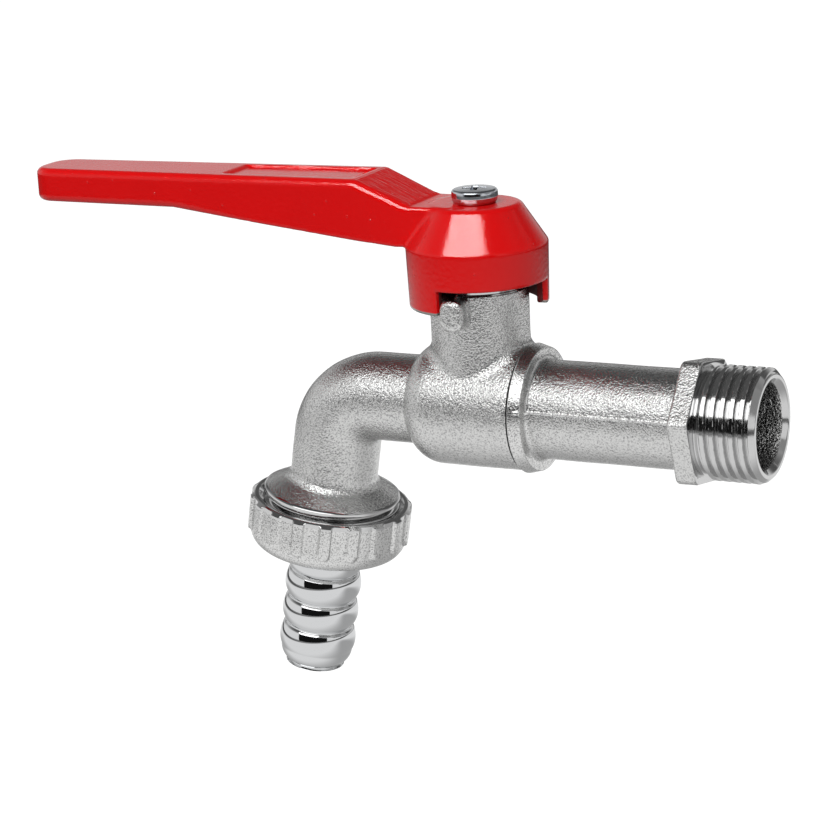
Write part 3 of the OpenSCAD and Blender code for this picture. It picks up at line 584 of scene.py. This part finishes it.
floorAndThread = run(
    (c.bottom, 11.5, 0), (c.bottom, c.hole + 0.15, 6), (c.bottom - 0.15, c.hole, 1),
    (c.ledge + 0.05, c.hole, 2), (c.ledge, c.hole + 0.1, 1), (c.ledge, 12.6, 4),
    (c.ledge - 0.4, 13.3, 2), (c.top + 0.95, 13.3, 72))
along, radius = joinRows(mouth, outside, floorAndThread)
number = np.arange(len(along))
wallFrom, wallTo = len(mouth[0]), len(mouth[0]) + len(outside[0])
angle = around(c.ribs * 20)
radius = np.tile(radius[:, None], (1, len(angle)))
# Rib: 1 inside its width and 0 outside, with soft flanks and a round lower end, sinking into the nut's round
step = 360 / c.ribs
fromRib = ((np.degrees(angle) - c.ribTurn + step / 2) % step - step / 2)[None]
endDrop = np.maximum(along - (c.ribEnd - c.ribRound), 0)[:, None]
across = np.hypot(fromRib * math.radians(1) * c.wallR, endDrop * 1.05)
rib = c.ribHeight * (1 - smoothStep(*c.ribSide, across))
sinking = np.cos(np.clip((along - (c.bottom - c.round)) / c.round, 0, 1) * 0.9)[:, None]
isWall = ((number >= wallFrom) & (number < wallTo))[:, None]
radius = radius + np.where(isWall, rib * sinking, 0)
cutBack = c.bevelR + (along - c.top)[:, None] * c.bevelSlope
isBevel = (number >= wallFrom) & (along < c.top + 1.4)
radius = np.where(isBevel[:, None] & (cutBack < radius), cutBack, radius)
isInside = number >= len(along) - 72
radius = np.where(isInside[:, None], c.threadR - threadDepth(along, angle), radius)
lift = np.where(isWall, c.wave * unevenness(onAxis(*outletAxis, along, radius, angle), c.waveSize), 0)
nutPoints = onAxis(*outletAxis, along, radius + lift, angle)


def nutFinish(centres):
    # turned metal on the mouth's bevels and inside, blasted outside
    local = centres - np.array(outletAxis[0])
    s = local @ np.array(outletAxis[1])
    r = np.linalg.norm(local - s[:, None] * np.array(outletAxis[1]), axis=1)
    onBevel = (r < nut["bevelR"] + (s - nut["top"]) * nut["bevelSlope"] + 0.06) & (s < nut["top"] + 1.2)
    return onBevel | (r < 13.5) & (s < 31.4)


makePiece("unionNut", [(nutPoints, True)], "union_nut", "union_nut",
          [fineBlastedNickel, turnedNickel], 30, nutFinish)

# Hose nozzle. Barb: its slope, given in degrees at places along it, jumps up out of the hollow, drops off at
# the shoulder, fades to level at the crown and tapers down to the next hollow. The radius is the running sum
# of the slope's tangent, and the taper is scaled so that it falls as far as the shoulder rose.
nozzle = dict(flangeFrom=27.92, flangeR=12.0, flangeTo=29.78, neckR=6.8, collarR=7.35, firstBarb=36.45,
              pitch=5.7, barbR=7.45, barbs=3,
              riseAt=[0, 0.02, 0.065, 0.10, 0.36, 0.50, 1], rise=[0, 50, 42, 22, 7, 0, 0],
              fallAt=[0, 0.50, 0.84, 0.95, 1], fall=[0, 0, 17, 14, 0], end=56.15, endRound=3.4, endDrop=0.45,
              bore=5.3)
c = SimpleNamespace(**nozzle)
u = np.linspace(0, 1, 101)
rise = np.tan(np.radians(np.interp(u, c.riseAt, c.rise)))
fall = np.tan(np.radians(np.interp(u, c.fallAt, c.fall)))
climb = np.concatenate([[0], np.cumsum((rise[1:] + rise[:-1]) / 2 * np.diff(u))]) * c.pitch
sink = np.concatenate([[0], np.cumsum((fall[1:] + fall[:-1]) / 2 * np.diff(u))])
hollow = climb[-1]
barb = climb - hollow * sink / sink[-1]
barbRows = []
for k in range(c.barbs):
    part = u <= 0.5 if k == c.barbs - 1 else u < 1
    barbRows.append((c.firstBarb + (k + u[part]) * c.pitch, c.barbR - hollow + barb[part]))
tail = (np.linspace(barbRows[-1][0][-1] + 0.2, c.end - c.endRound, 12)[:-1],
        c.barbR - c.endDrop * np.linspace(0.03, 1, 12)[:-1] ** 2)
lead = np.linspace(0, 1, 26)
collarFrom = c.flangeTo + 1.9
collarAlong = collarFrom + (c.firstBarb - 0.08 - collarFrom) * lead
collar = np.interp(lead, [0, 0.12, 0.35, 0.62, 0.8, 0.94, 1],
                   [c.neckR, c.neckR + 0.08, 7.22, c.collarR, 7.22, 6.8, c.barbR - hollow + 0.01])
collar = np.convolve(np.pad(collar, 3, mode="edge"), np.array([1, 3, 6, 7, 6, 3, 1]) / 27, mode="valid")
along, radius = joinRows(
    run((c.flangeFrom, c.bore + 0.2, 0), (c.flangeFrom, c.flangeR - 0.15, 4),
        (c.flangeFrom + 0.15, c.flangeR, 1), (c.flangeTo - 0.15, c.flangeR, 2),
        (c.flangeTo, c.flangeR - 0.15, 1), (c.flangeTo, c.neckR + 0.2, 4),
        (c.flangeTo + 0.2, c.neckR, 1), (c.flangeTo + 1.7, c.neckR, 2)),
    (collarAlong, collar), *barbRows, tail,
    arcRows(c.end - c.endRound, c.barbR - c.endDrop - c.endRound, c.endRound, 0, 78, 16),
    run((c.end - 0.02, 5.72, 0), (c.end - 0.02, 5.5, 1), (c.end - 0.2, c.bore, 2),
        (c.flangeFrom + 0.15, c.bore, 30)))
angle = around(192)
nozzlePoints = onAxis(*outletAxis, along, np.tile(radius[:, None], (1, len(angle))), angle)
makePiece("hoseNozzle", [(nozzlePoints, True)], "hose_tail", "hose_nozzle", [mirrorChrome], 40)

# Handle screw: domed head with a cross recess. Its height is a function of radius and angle, less two slots.
screw = dict(base=38.2, headR=4.25, headHeight=2.75, dome=0.18, rim=2.05, edgeRound=0.5, under=0.3,
             shankR=1.98, length=11.0, slotWidth=1.1, slotSpan=4.4, slotDepth=1.7, slotTurn=20)
c = SimpleNamespace(**screw)
edgeFrom = c.headR - c.edgeRound
ringR = np.concatenate([np.linspace(0.02, 3.7, 80),
                        edgeFrom + c.edgeRound * np.sin(np.radians(np.linspace(4, 90, 14)))])
edge = np.clip((ringR - edgeFrom) / c.edgeRound, 0, 1)
domeZ = (c.headHeight - c.dome * (ringR / c.headR) ** 2
         - (c.headHeight - c.dome - c.rim) * (1 - np.sqrt(1 - edge ** 2)))
angle = around(240)
local = angle - math.radians(c.slotTurn)
px, py = ringR[:, None] * np.cos(local), ringR[:, None] * np.sin(local)


def bar(a, b):
    # a slot along a: 1 within its width and span, tapering to 0 at its edges
    return (1 - smoothStep(screw["slotWidth"] / 2 - 0.1, screw["slotWidth"] / 2 + 0.12, np.abs(b))) * (
        1 - smoothStep(screw["slotSpan"] / 2 - 0.35, screw["slotSpan"] / 2 + 0.1, np.abs(a)))


slots = np.maximum(bar(px, py), bar(py, px)) * c.slotDepth * (
    1 - 0.25 * np.minimum(np.hypot(px, py) / (c.slotSpan / 2), 1) ** 2)
down = run((c.rim - 0.15, c.headR + 0.03, 0), (1.2, c.headR + 0.05, 4),
           (c.under + 0.25, c.headR - 0.1, 4), (c.under * 0.4, c.headR - 0.35, 2),
           (0.02, c.headR - 0.6, 1), (0.02, c.shankR + 0.1, 3), (-0.2, c.shankR, 1),
           (-c.length + 0.5, c.shankR, 20), (-c.length, c.shankR - 0.5, 1), (-c.length, 0.1, 2))
allZ = np.vstack([domeZ[:, None] - slots, np.tile(down[0][:, None], (1, len(angle)))]) + c.base
allR = np.concatenate([ringR, down[1]])
screwPoints = np.stack([stemX + allR[:, None] * np.cos(angle), allR[:, None] * np.sin(angle), allZ], -1)
makePiece("handleScrew", [(screwPoints, False)], "handle_set", "handle_screw", [zincSteel], 38)

# Lever handle: one blended casting. A carried surface can't give the soft fillets between cone, skirt, lever
# and window, so this piece is the zero surface of a signed distance, meshed on a lattice.
handle = dict(capR=13.2, skirtLowR=12.9, skirtTop=30.8, skirtBottom=19.4, capTop=38.2, topR=8.45,
              topRound=0.6, lowRound=0.35, coneRound=0.15, wall=2.1, hubR=6.5, hubFrom=25.8, hubRound=0.5,
              windowFrom=-101.9, windowTo=11.9, windowTop=24.0, windowRound=0.3, windowEdge=0.35,
              tipX=-139.0, bendX=-66.5, slopeEndX=-55.2, rootX=-54.3, tipHalf=6.4, bendHalf=7.8,
              rootHalf=7.1, leverTop=42.9, tipTop=42.4, tipLow=36.0, breakX=-106.0, breakLow=36.05,
              capLow=30.7, tipRound=5.0, topEdge=1.35, lowEdge=0.4, blend=0.6, recessFrom=-95.7,
              recessTo=-67.3, recessDepth=0.48, recessRim=2.75, recessSlope=2.5,
              recessRound=0.3, recessFoot=0.15, recessEdge=0.2, driveR=4.05, driveHalf=3.05, driveTop=35.2,
              screwHole=2.3, cell=0.33)
c = SimpleNamespace(**handle)


def smoothUnion(a, b, k):
    # the lower of two distances, with a round of about k where they are alike
    h = np.clip(0.5 + 0.5 * (b - a) / k, 0, 1)
    return b * (1 - h) + a * h - k * h * (1 - h)


def smoothCut(a, b, k):
    return -smoothUnion(-a, b, k)


def roundMeet(a, b, size):
    # the common part of two shapes, with its edge rounded to size
    return np.minimum(-size, np.maximum(a, b)) + np.hypot(np.maximum(size + a, 0), np.maximum(size + b, 0))


def outlineDistance(px, py, corners):
    # signed distance to a closed outline: the nearest point of every edge, negative where a ray crosses it an
    # odd number of times
    best, inside = np.full(px.shape, 1e9), np.zeros(px.shape, bool)
    for (ax, ay), (bx, by) in zip(corners, corners[1:] + corners[:1]):
        ex, ey = bx - ax, by - ay
        k = np.clip(((px - ax) * ex + (py - ay) * ey) / (ex * ex + ey * ey), 0, 1)
        best = np.minimum(best, (px - ax - k * ex) ** 2 + (py - ay - k * ey) ** 2)
        if ey:
            inside ^= ((ay > py) != (by > py)) & (px < ax + (py - ay) * ex / ey)
    return np.where(inside, -1, 1) * np.sqrt(best)


tipCorner = [(c.tipX + c.tipRound * (1 - math.cos(a)), c.tipHalf - c.tipRound * (1 - math.sin(a)))
             for a in np.linspace(0, math.pi / 2, 9)]
planOutline = [(c.tipX, -12.0)] + tipCorner + [
    (c.bendX, c.bendHalf), (c.rootX, c.rootHalf), (stemX + 1, c.rootHalf), (stemX + 1, -12.0)]
sideOutline = [(c.tipX, c.tipLow), (c.breakX, c.breakLow), (-58.2, c.capLow), (-47.0, c.capLow + 0.2),
               (-47.0, c.capTop), (c.slopeEndX, c.capTop), (c.bendX + 0.5, c.leverTop - 0.12),
               (c.bendX, c.leverTop), (c.tipX, c.tipTop)]


def handleField(x, y, z):
    # distance to the handle's surface, negative inside: (cap + lever) - cavity - window - recess - bores
    out = np.hypot(x - stemX, y)
    cone = (c.capR - c.topR, c.capTop - c.skirtTop)
    lean = (c.capR - c.skirtLowR) / (c.skirtTop - c.skirtBottom)
    side = (out - c.capR) - (z - c.skirtTop) * lean
    coneD = ((out - c.capR) * cone[1] + (z - c.skirtTop) * cone[0]) / math.hypot(*cone)
    cap = smoothCut(side, -coneD, c.coneRound)
    cap = roundMeet(cap, z - c.capTop, c.topRound)
    cap = roundMeet(cap, c.skirtBottom - z, c.lowRound)
    # the lever's edge is round above and sharper below, and tightens where the slope runs out on to the cap
    edge = c.lowEdge + (c.topEdge - c.lowEdge) * smoothStep(33.5, 37.5, z)
    edge = edge * (1 - 0.55 * smoothStep(-56.8, -54.8, x))
    lever = roundMeet(outlineDistance(x, np.abs(y), planOutline), outlineDistance(x, z, sideOutline), edge)
    body = smoothUnion(cap, lever, c.blend)
    hollow = np.maximum(np.maximum(side + c.wall, coneD + c.wall), z - (c.capTop - c.wall))
    hub = np.maximum(out - c.hubR, c.hubFrom - z)
    body = smoothCut(body, smoothCut(hollow, hub, c.hubRound), c.hubRound)
    turn = np.arctan2(y, x - stemX)
    wedge = np.maximum(-out * np.sin(turn - math.radians(c.windowFrom)),
                       out * np.sin(turn - math.radians(c.windowTo)))
    window = roundMeet(wedge, z - c.windowTop, c.windowRound)
    body = smoothCut(body, np.maximum(window, c.hubR + 1 - out), c.windowEdge)
    share = (x - c.tipX) / (c.bendX - c.tipX)
    halfWidth = c.tipHalf + (c.bendHalf - c.tipHalf) * share - c.recessRim
    below = c.leverTop - (c.leverTop - c.tipTop) * (1 - share) - z
    ends = np.maximum(c.recessFrom - x, x - c.recessTo) + below * c.recessSlope
    recess = roundMeet(np.abs(y) - halfWidth, ends / math.hypot(1, c.recessSlope), c.recessRound)
    recess = roundMeet(recess, below - c.recessDepth, c.recessFoot)
    body = smoothCut(body, recess, c.recessEdge)
    drive = np.maximum(np.maximum(out - c.driveR, np.abs(y) - c.driveHalf), z - c.driveTop)
    return np.maximum(body, -np.minimum(drive, out - c.screwHole))


def fieldSurface(field, low, high, cell):
    # samples the field on a lattice, puts one vertex in each cell that the surface crosses, at the mean of
    # the crossings on its edges, joins the four cells round each crossed edge, and slides each vertex on to
    # the surface
    axes = [np.arange(a, b + cell, cell) for a, b in zip(low, high)]
    values = field(*np.meshgrid(*axes, indexing="ij")).astype(np.float32)
    sign = values < 0
    shape = tuple(n - 1 for n in values.shape)
    corner = lambda v, i, j, k: v[i:i + shape[0], j:j + shape[1], k:k + shape[2]]
    total = sum(corner(sign, i, j, k).astype(np.int8) for i in (0, 1) for j in (0, 1) for k in (0, 1))
    cells = np.argwhere((total > 0) & (total < 8))
    numberOf = np.full(shape, -1, np.int64)
    numberOf[tuple(cells.T)] = np.arange(len(cells))
    sums, hits, quads, unit = np.zeros((len(cells), 3)), np.zeros(len(cells)), [], np.eye(3, dtype=int)
    for axis in range(3):
        step, b, d = unit[axis], unit[(axis + 1) % 3], unit[(axis + 2) % 3]
        for shift in (0 * b, b, d, b + d):
            va, vb = values[tuple((cells + shift).T)], values[tuple((cells + shift + step).T)]
            crossed = (va < 0) != (vb < 0)
            t = np.where(crossed, va / np.where(va == vb, 1, va - vb), 0)
            sums += np.where(crossed[:, None], shift + t[:, None] * step, 0)
            hits += crossed
        cut = [slice(1, n - 1) for n in values.shape]
        cut[axis] = slice(0, values.shape[axis] - 1)
        ahead = list(cut)
        ahead[axis] = slice(1, values.shape[axis])
        s0, s1 = sign[tuple(cut)], sign[tuple(ahead)]
        for entering in (True, False):
            edges = np.argwhere((s0 != s1) & (s0 == entering)) + (1 - step)
            ring = [numberOf[tuple((edges + o).T)] for o in (-b - d, -d, 0 * b, -b)]
            quads.append(np.stack(ring if entering else ring[::-1], -1))
    points = np.array([a[0] for a in axes]) + (cells + sums / hits[:, None]) * cell
    h = 0.02
    for _ in range(3):
        x, y, z = points.T
        value = field(x, y, z)
        slope = np.stack([field(x + h, y, z) - field(x - h, y, z), field(x, y + h, z) - field(x, y - h, z),
                          field(x, y, z + h) - field(x, y, z - h)], -1) / (2 * h)
        move = -value[:, None] * slope / np.maximum((slope ** 2).sum(1, keepdims=True), 0.25)
        points = points + np.clip(move, -0.3 * cell, 0.3 * cell)
    return points, np.vstack(quads)


def handleFinish(centres):
    # the cap's inside, seen through the window, gets a dark enamel painted as its shade
    out = np.hypot(centres[:, 0] - stemX, centres[:, 1])
    outside = np.interp(centres[:, 2], [handle["skirtBottom"], handle["skirtTop"], handle["capTop"]],
                        [handle["skirtLowR"], handle["capR"], handle["topR"]])
    return (out < outside - handle["wall"] / 2) & (centres[:, 2] < handle["capTop"] - handle["wall"] + 0.3)


points, faces = fieldSurface(handleField, (-140.0, -14.2, 18.6), (-30.9, 14.2, 43.9), handle["cell"])
if enclosedVolume(points, faces) < 0:
    faces = faces[:, ::-1]
leverHandle = finishPiece("leverHandle", points, faces, faces.tolist(), "handle_set", "lever_handle",
                          [redEnamel, shadedInnerEnamel], 55, handleFinish)


def facing(azimuth, elevation):
    # across, up and out for something that faces the tap from azimuth (0 is -Y, 90 is +X) and elevation
    a, e = math.radians(azimuth), math.radians(elevation)
    out = np.array([math.sin(a) * math.cos(e), -math.cos(a) * math.cos(e), math.sin(e)])
    across = np.array([math.cos(a), math.sin(a), 0.0])
    return across, np.cross(out, across), out


# Camera: the lens is for a picture 828 pixels wide
view = dict(azimuth=27.424, elevation=15.116, roll=3.053, distance=0.520591, focal=2751.697,
            target=(-0.059862, 0.0, -0.003076))
right, up, back = facing(view["azimuth"], view["elevation"])
r = math.radians(view["roll"])
right, up = math.cos(r) * right - math.sin(r) * up, math.sin(r) * right + math.cos(r) * up
cameraData = bpy.data.cameras.new("camera")
cameraData.sensor_width = 36.0
cameraData.lens = view["focal"] / 828 * 36.0
cameraData.clip_start, cameraData.clip_end = 0.01, 50.0
bpy.context.scene.camera = addObject("camera", cameraData, right, up, back,
                                     np.array(view["target"]) + back * view["distance"])

# Studio. A card is azimuth, elevation, width and height in degrees, distance, strength: a window-like softbox
# high in front, a dark gap below it, and pale walls at the side. A lamp is azimuth, elevation, size, watts.
studio = dict(middle=(-0.07, 0, 0), floorZ=-0.115, floorHalf=8, floorColour="#7C7C7C", lift=0.95, dome=0.46,
              table=0.88, tableCentre=(0.03, 0, 0), tableEdge=(0.46, 0.68), far=0.1, farFront=0.25,
              wall=0.85, overhead=0.1, behind=0.66, behindHigh=0.1,
              shade=0.5, shadeAt=(-0.03, 0.075, 0), shadeSize=(0.32, 0.09), shadeEdge=(0.45, 1.5),
              cards=dict(softBox=(-1, 45, 54, 38, 1.2, 2.4), darkCard=(13, 10.5, 88, 38, 1.3, 0.008),
                         sideCard=(94, 20, 30, 30, 1.3, 0.3), farSideCard=(128, 20, 18, 30, 1.3, 0.35)),
              lamps=dict(keyLamp=(-12, 58, 0.9, 7.2), fillLamp=(20, 12, 1.2, 9.8)), lampDistance=1.3,
              windowOnEnamel=34)
middle = np.array(studio["middle"])


def emptyTree(owner):
    owner.use_nodes = True
    owner.node_tree.nodes.clear()
    return owner.node_tree


def seenDirectly(tree):
    # 1 for what the camera sees, also through something clear, and 0 for light and reflections
    camera, through = (put(tree, "LightPath", {}, name) for name in ("Is Camera Ray", "Is Transmission Ray"))
    return put(tree, "Math", {0: camera, 1: through}, operation="MAXIMUM")


def stagePlane(name, corners, material):
    mesh = bpy.data.meshes.new(name)
    mesh.from_pydata([tuple(p) for p in corners], [], [(0, 1, 2, 3)])
    mesh.materials.append(material)
    plane = addObject(name, mesh)
    return plane


square = ((-1, -1), (1, -1), (1, 1), (-1, 1))
white = (1, 1, 1, 1)
for name, (azimuth, elevation, width, height, distance, strength) in studio["cards"].items():
    across, rise, out = facing(azimuth, elevation)
    w, h = distance * math.tan(math.radians(width / 2)), distance * math.tan(math.radians(height / 2))
    glow = bpy.data.materials.new(name + "Glow")
    tree = emptyTree(glow)
    put(tree, "OutputMaterial", {"Surface": put(tree, "Emission", {"Color": white, "Strength": strength})})
    corners = [middle + out * distance + sx * w * across + sy * h * rise for sx, sy in square]
    card = stagePlane(name, corners, glow)
    card.visible_camera = card.visible_diffuse = card.visible_shadow = card.visible_transmission = False

# Floor: pale matt paper, lifted to white where the camera sees it, so that only the shadow shows. Reflections
# show a lit table that darkens with the distance from its centre, and a shade behind the tap.
paper = bpy.data.materials.new("palePaper")
tree = emptyTree(paper)
spot = put(tree, "TexCoord", {}, "Object")
wide = put(tree, "VectorMath", {0: spot, 1: (0.8, 1.0, 0.0)}, operation="MULTIPLY")
reach = put(tree, "VectorMath", {0: wide, 1: studio["tableCentre"]}, "Value", operation="DISTANCE")
inFront = put(tree, "SeparateXYZ", {0: spot}, 1)
far = put(tree, "MapRange", {0: inFront, 1: -0.6, 2: -0.74, 3: studio["far"], 4: studio["farFront"]})
near, away = studio["tableEdge"]
table = put(tree, "MapRange", {0: reach, 1: near, 2: away, 3: studio["table"], 4: far},
            interpolation_type="SMOOTHSTEP")
shade = put(tree, "VectorMath", {0: spot, 1: studio["shadeAt"]}, operation="SUBTRACT")
shade = put(tree, "VectorMath", {0: shade, 1: (*studio["shadeSize"], 1.0)}, operation="DIVIDE")
shade = put(tree, "VectorMath", {0: shade, 1: (1.0, 1.0, 0.0)}, operation="MULTIPLY")
shade = put(tree, "VectorMath", {0: shade}, "Value", operation="LENGTH")
near, away = studio["shadeEdge"]
shade = put(tree, "MapRange", {0: shade, 1: near, 2: away, 3: studio["shade"]},
            interpolation_type="SMOOTHSTEP")
shown = put(tree, "Math", {0: table, 1: shade}, operation="MULTIPLY")
lifted = put(tree, "Math", {0: seenDirectly(tree), 1: studio["lift"]}, operation="MULTIPLY")
matt = put(tree, "AddShader", {0: put(tree, "BsdfDiffuse", {"Color": linear(studio["floorColour"])}),
                               1: put(tree, "Emission", {"Color": white, "Strength": lifted})})
put(tree, "OutputMaterial", {"Surface": put(tree, "MixShader", {
    0: put(tree, "LightPath", {}, "Is Glossy Ray"), 1: matt,
    2: put(tree, "Emission", {"Color": white, "Strength": shown})})})
half = studio["floorHalf"]
stagePlane("floor", [(x * half, y * half, studio["floorZ"]) for x, y in square], paper)

# World: an even light for matt surfaces, white behind the tap, and for reflections pale near the horizon and
# dark overhead, with a dimmer side behind the tap
world = bpy.data.worlds.new("studioWorld")
bpy.context.scene.world = world
tree = emptyTree(world)
towards = put(tree, "TexCoord", {}, "Generated")
toBack, upwards = (put(tree, "SeparateXYZ", {0: towards}, k) for k in (1, 2))
behind = put(tree, "MapRange", {0: toBack, 1: 0.1, 2: 0.6}, interpolation_type="SMOOTHSTEP")
wall = put(tree, "MapRange", {0: upwards, 1: 0.3, 2: 0.85, 3: studio["wall"], 4: studio["overhead"]},
           interpolation_type="SMOOTHSTEP")
backWall = put(tree, "MapRange", {0: upwards, 1: 0.1, 2: 0.45, 3: studio["behind"], 4: studio["behindHigh"]},
               interpolation_type="SMOOTHSTEP")
reflected = put(tree, "Mix", {0: behind, 2: wall, 3: backWall})
even, mirrored, backdrop = (put(tree, "Background", {"Color": white, "Strength": strength})
                            for strength in (studio["dome"], reflected, 1.0))
lighting = put(tree, "MixShader", {0: put(tree, "LightPath", {}, "Is Glossy Ray"), 1: even, 2: mirrored})
result = put(tree, "MixShader", {0: seenDirectly(tree), 1: lighting, 2: backdrop})
put(tree, "OutputWorld", {"Surface": result})


def addLamp(name, azimuth, elevation, distance, shape, size, watts):
    across, rise, out = facing(azimuth, elevation)
    lampData = bpy.data.lights.new(name, "AREA")
    lampData.shape, lampData.energy = shape, watts
    lampData.size, lampData.size_y = size
    lamp = addObject(name, lampData, across, rise, out, middle + out * distance)
    lamp.visible_camera = False
    return lamp


# Lamps: a large soft key from high in front, and a low broad fill; they light matt surfaces and the floor
for name, (azimuth, elevation, size, watts) in studio["lamps"].items():
    lamp = addLamp(name, azimuth, elevation, studio["lampDistance"], "DISK", (size, size), watts)
    lamp.visible_glossy = False

# The softbox once more, seen by the enamel alone: it mirrors so little that the window shows white in it only
# at a strength that would clip all the nickel
azimuth, elevation, width, height, distance, _ = studio["cards"]["softBox"]
w, h = 2 * distance * math.tan(math.radians(width / 2)), 2 * distance * math.tan(math.radians(height / 2))
windowLamp = addLamp("windowLamp", azimuth, elevation, distance, "RECTANGLE", (w, h),
                     studio["windowOnEnamel"] * math.pi * w * h)
windowLamp.visible_diffuse = False
enamelOnly = bpy.data.collections.new("enamelOnly")
enamelOnly.objects.link(leverHandle)
windowLamp.light_linking.receiver_collection = enamelOnly

bpy.context.scene.view_settings.view_transform = "Standard"
print("studio ready")
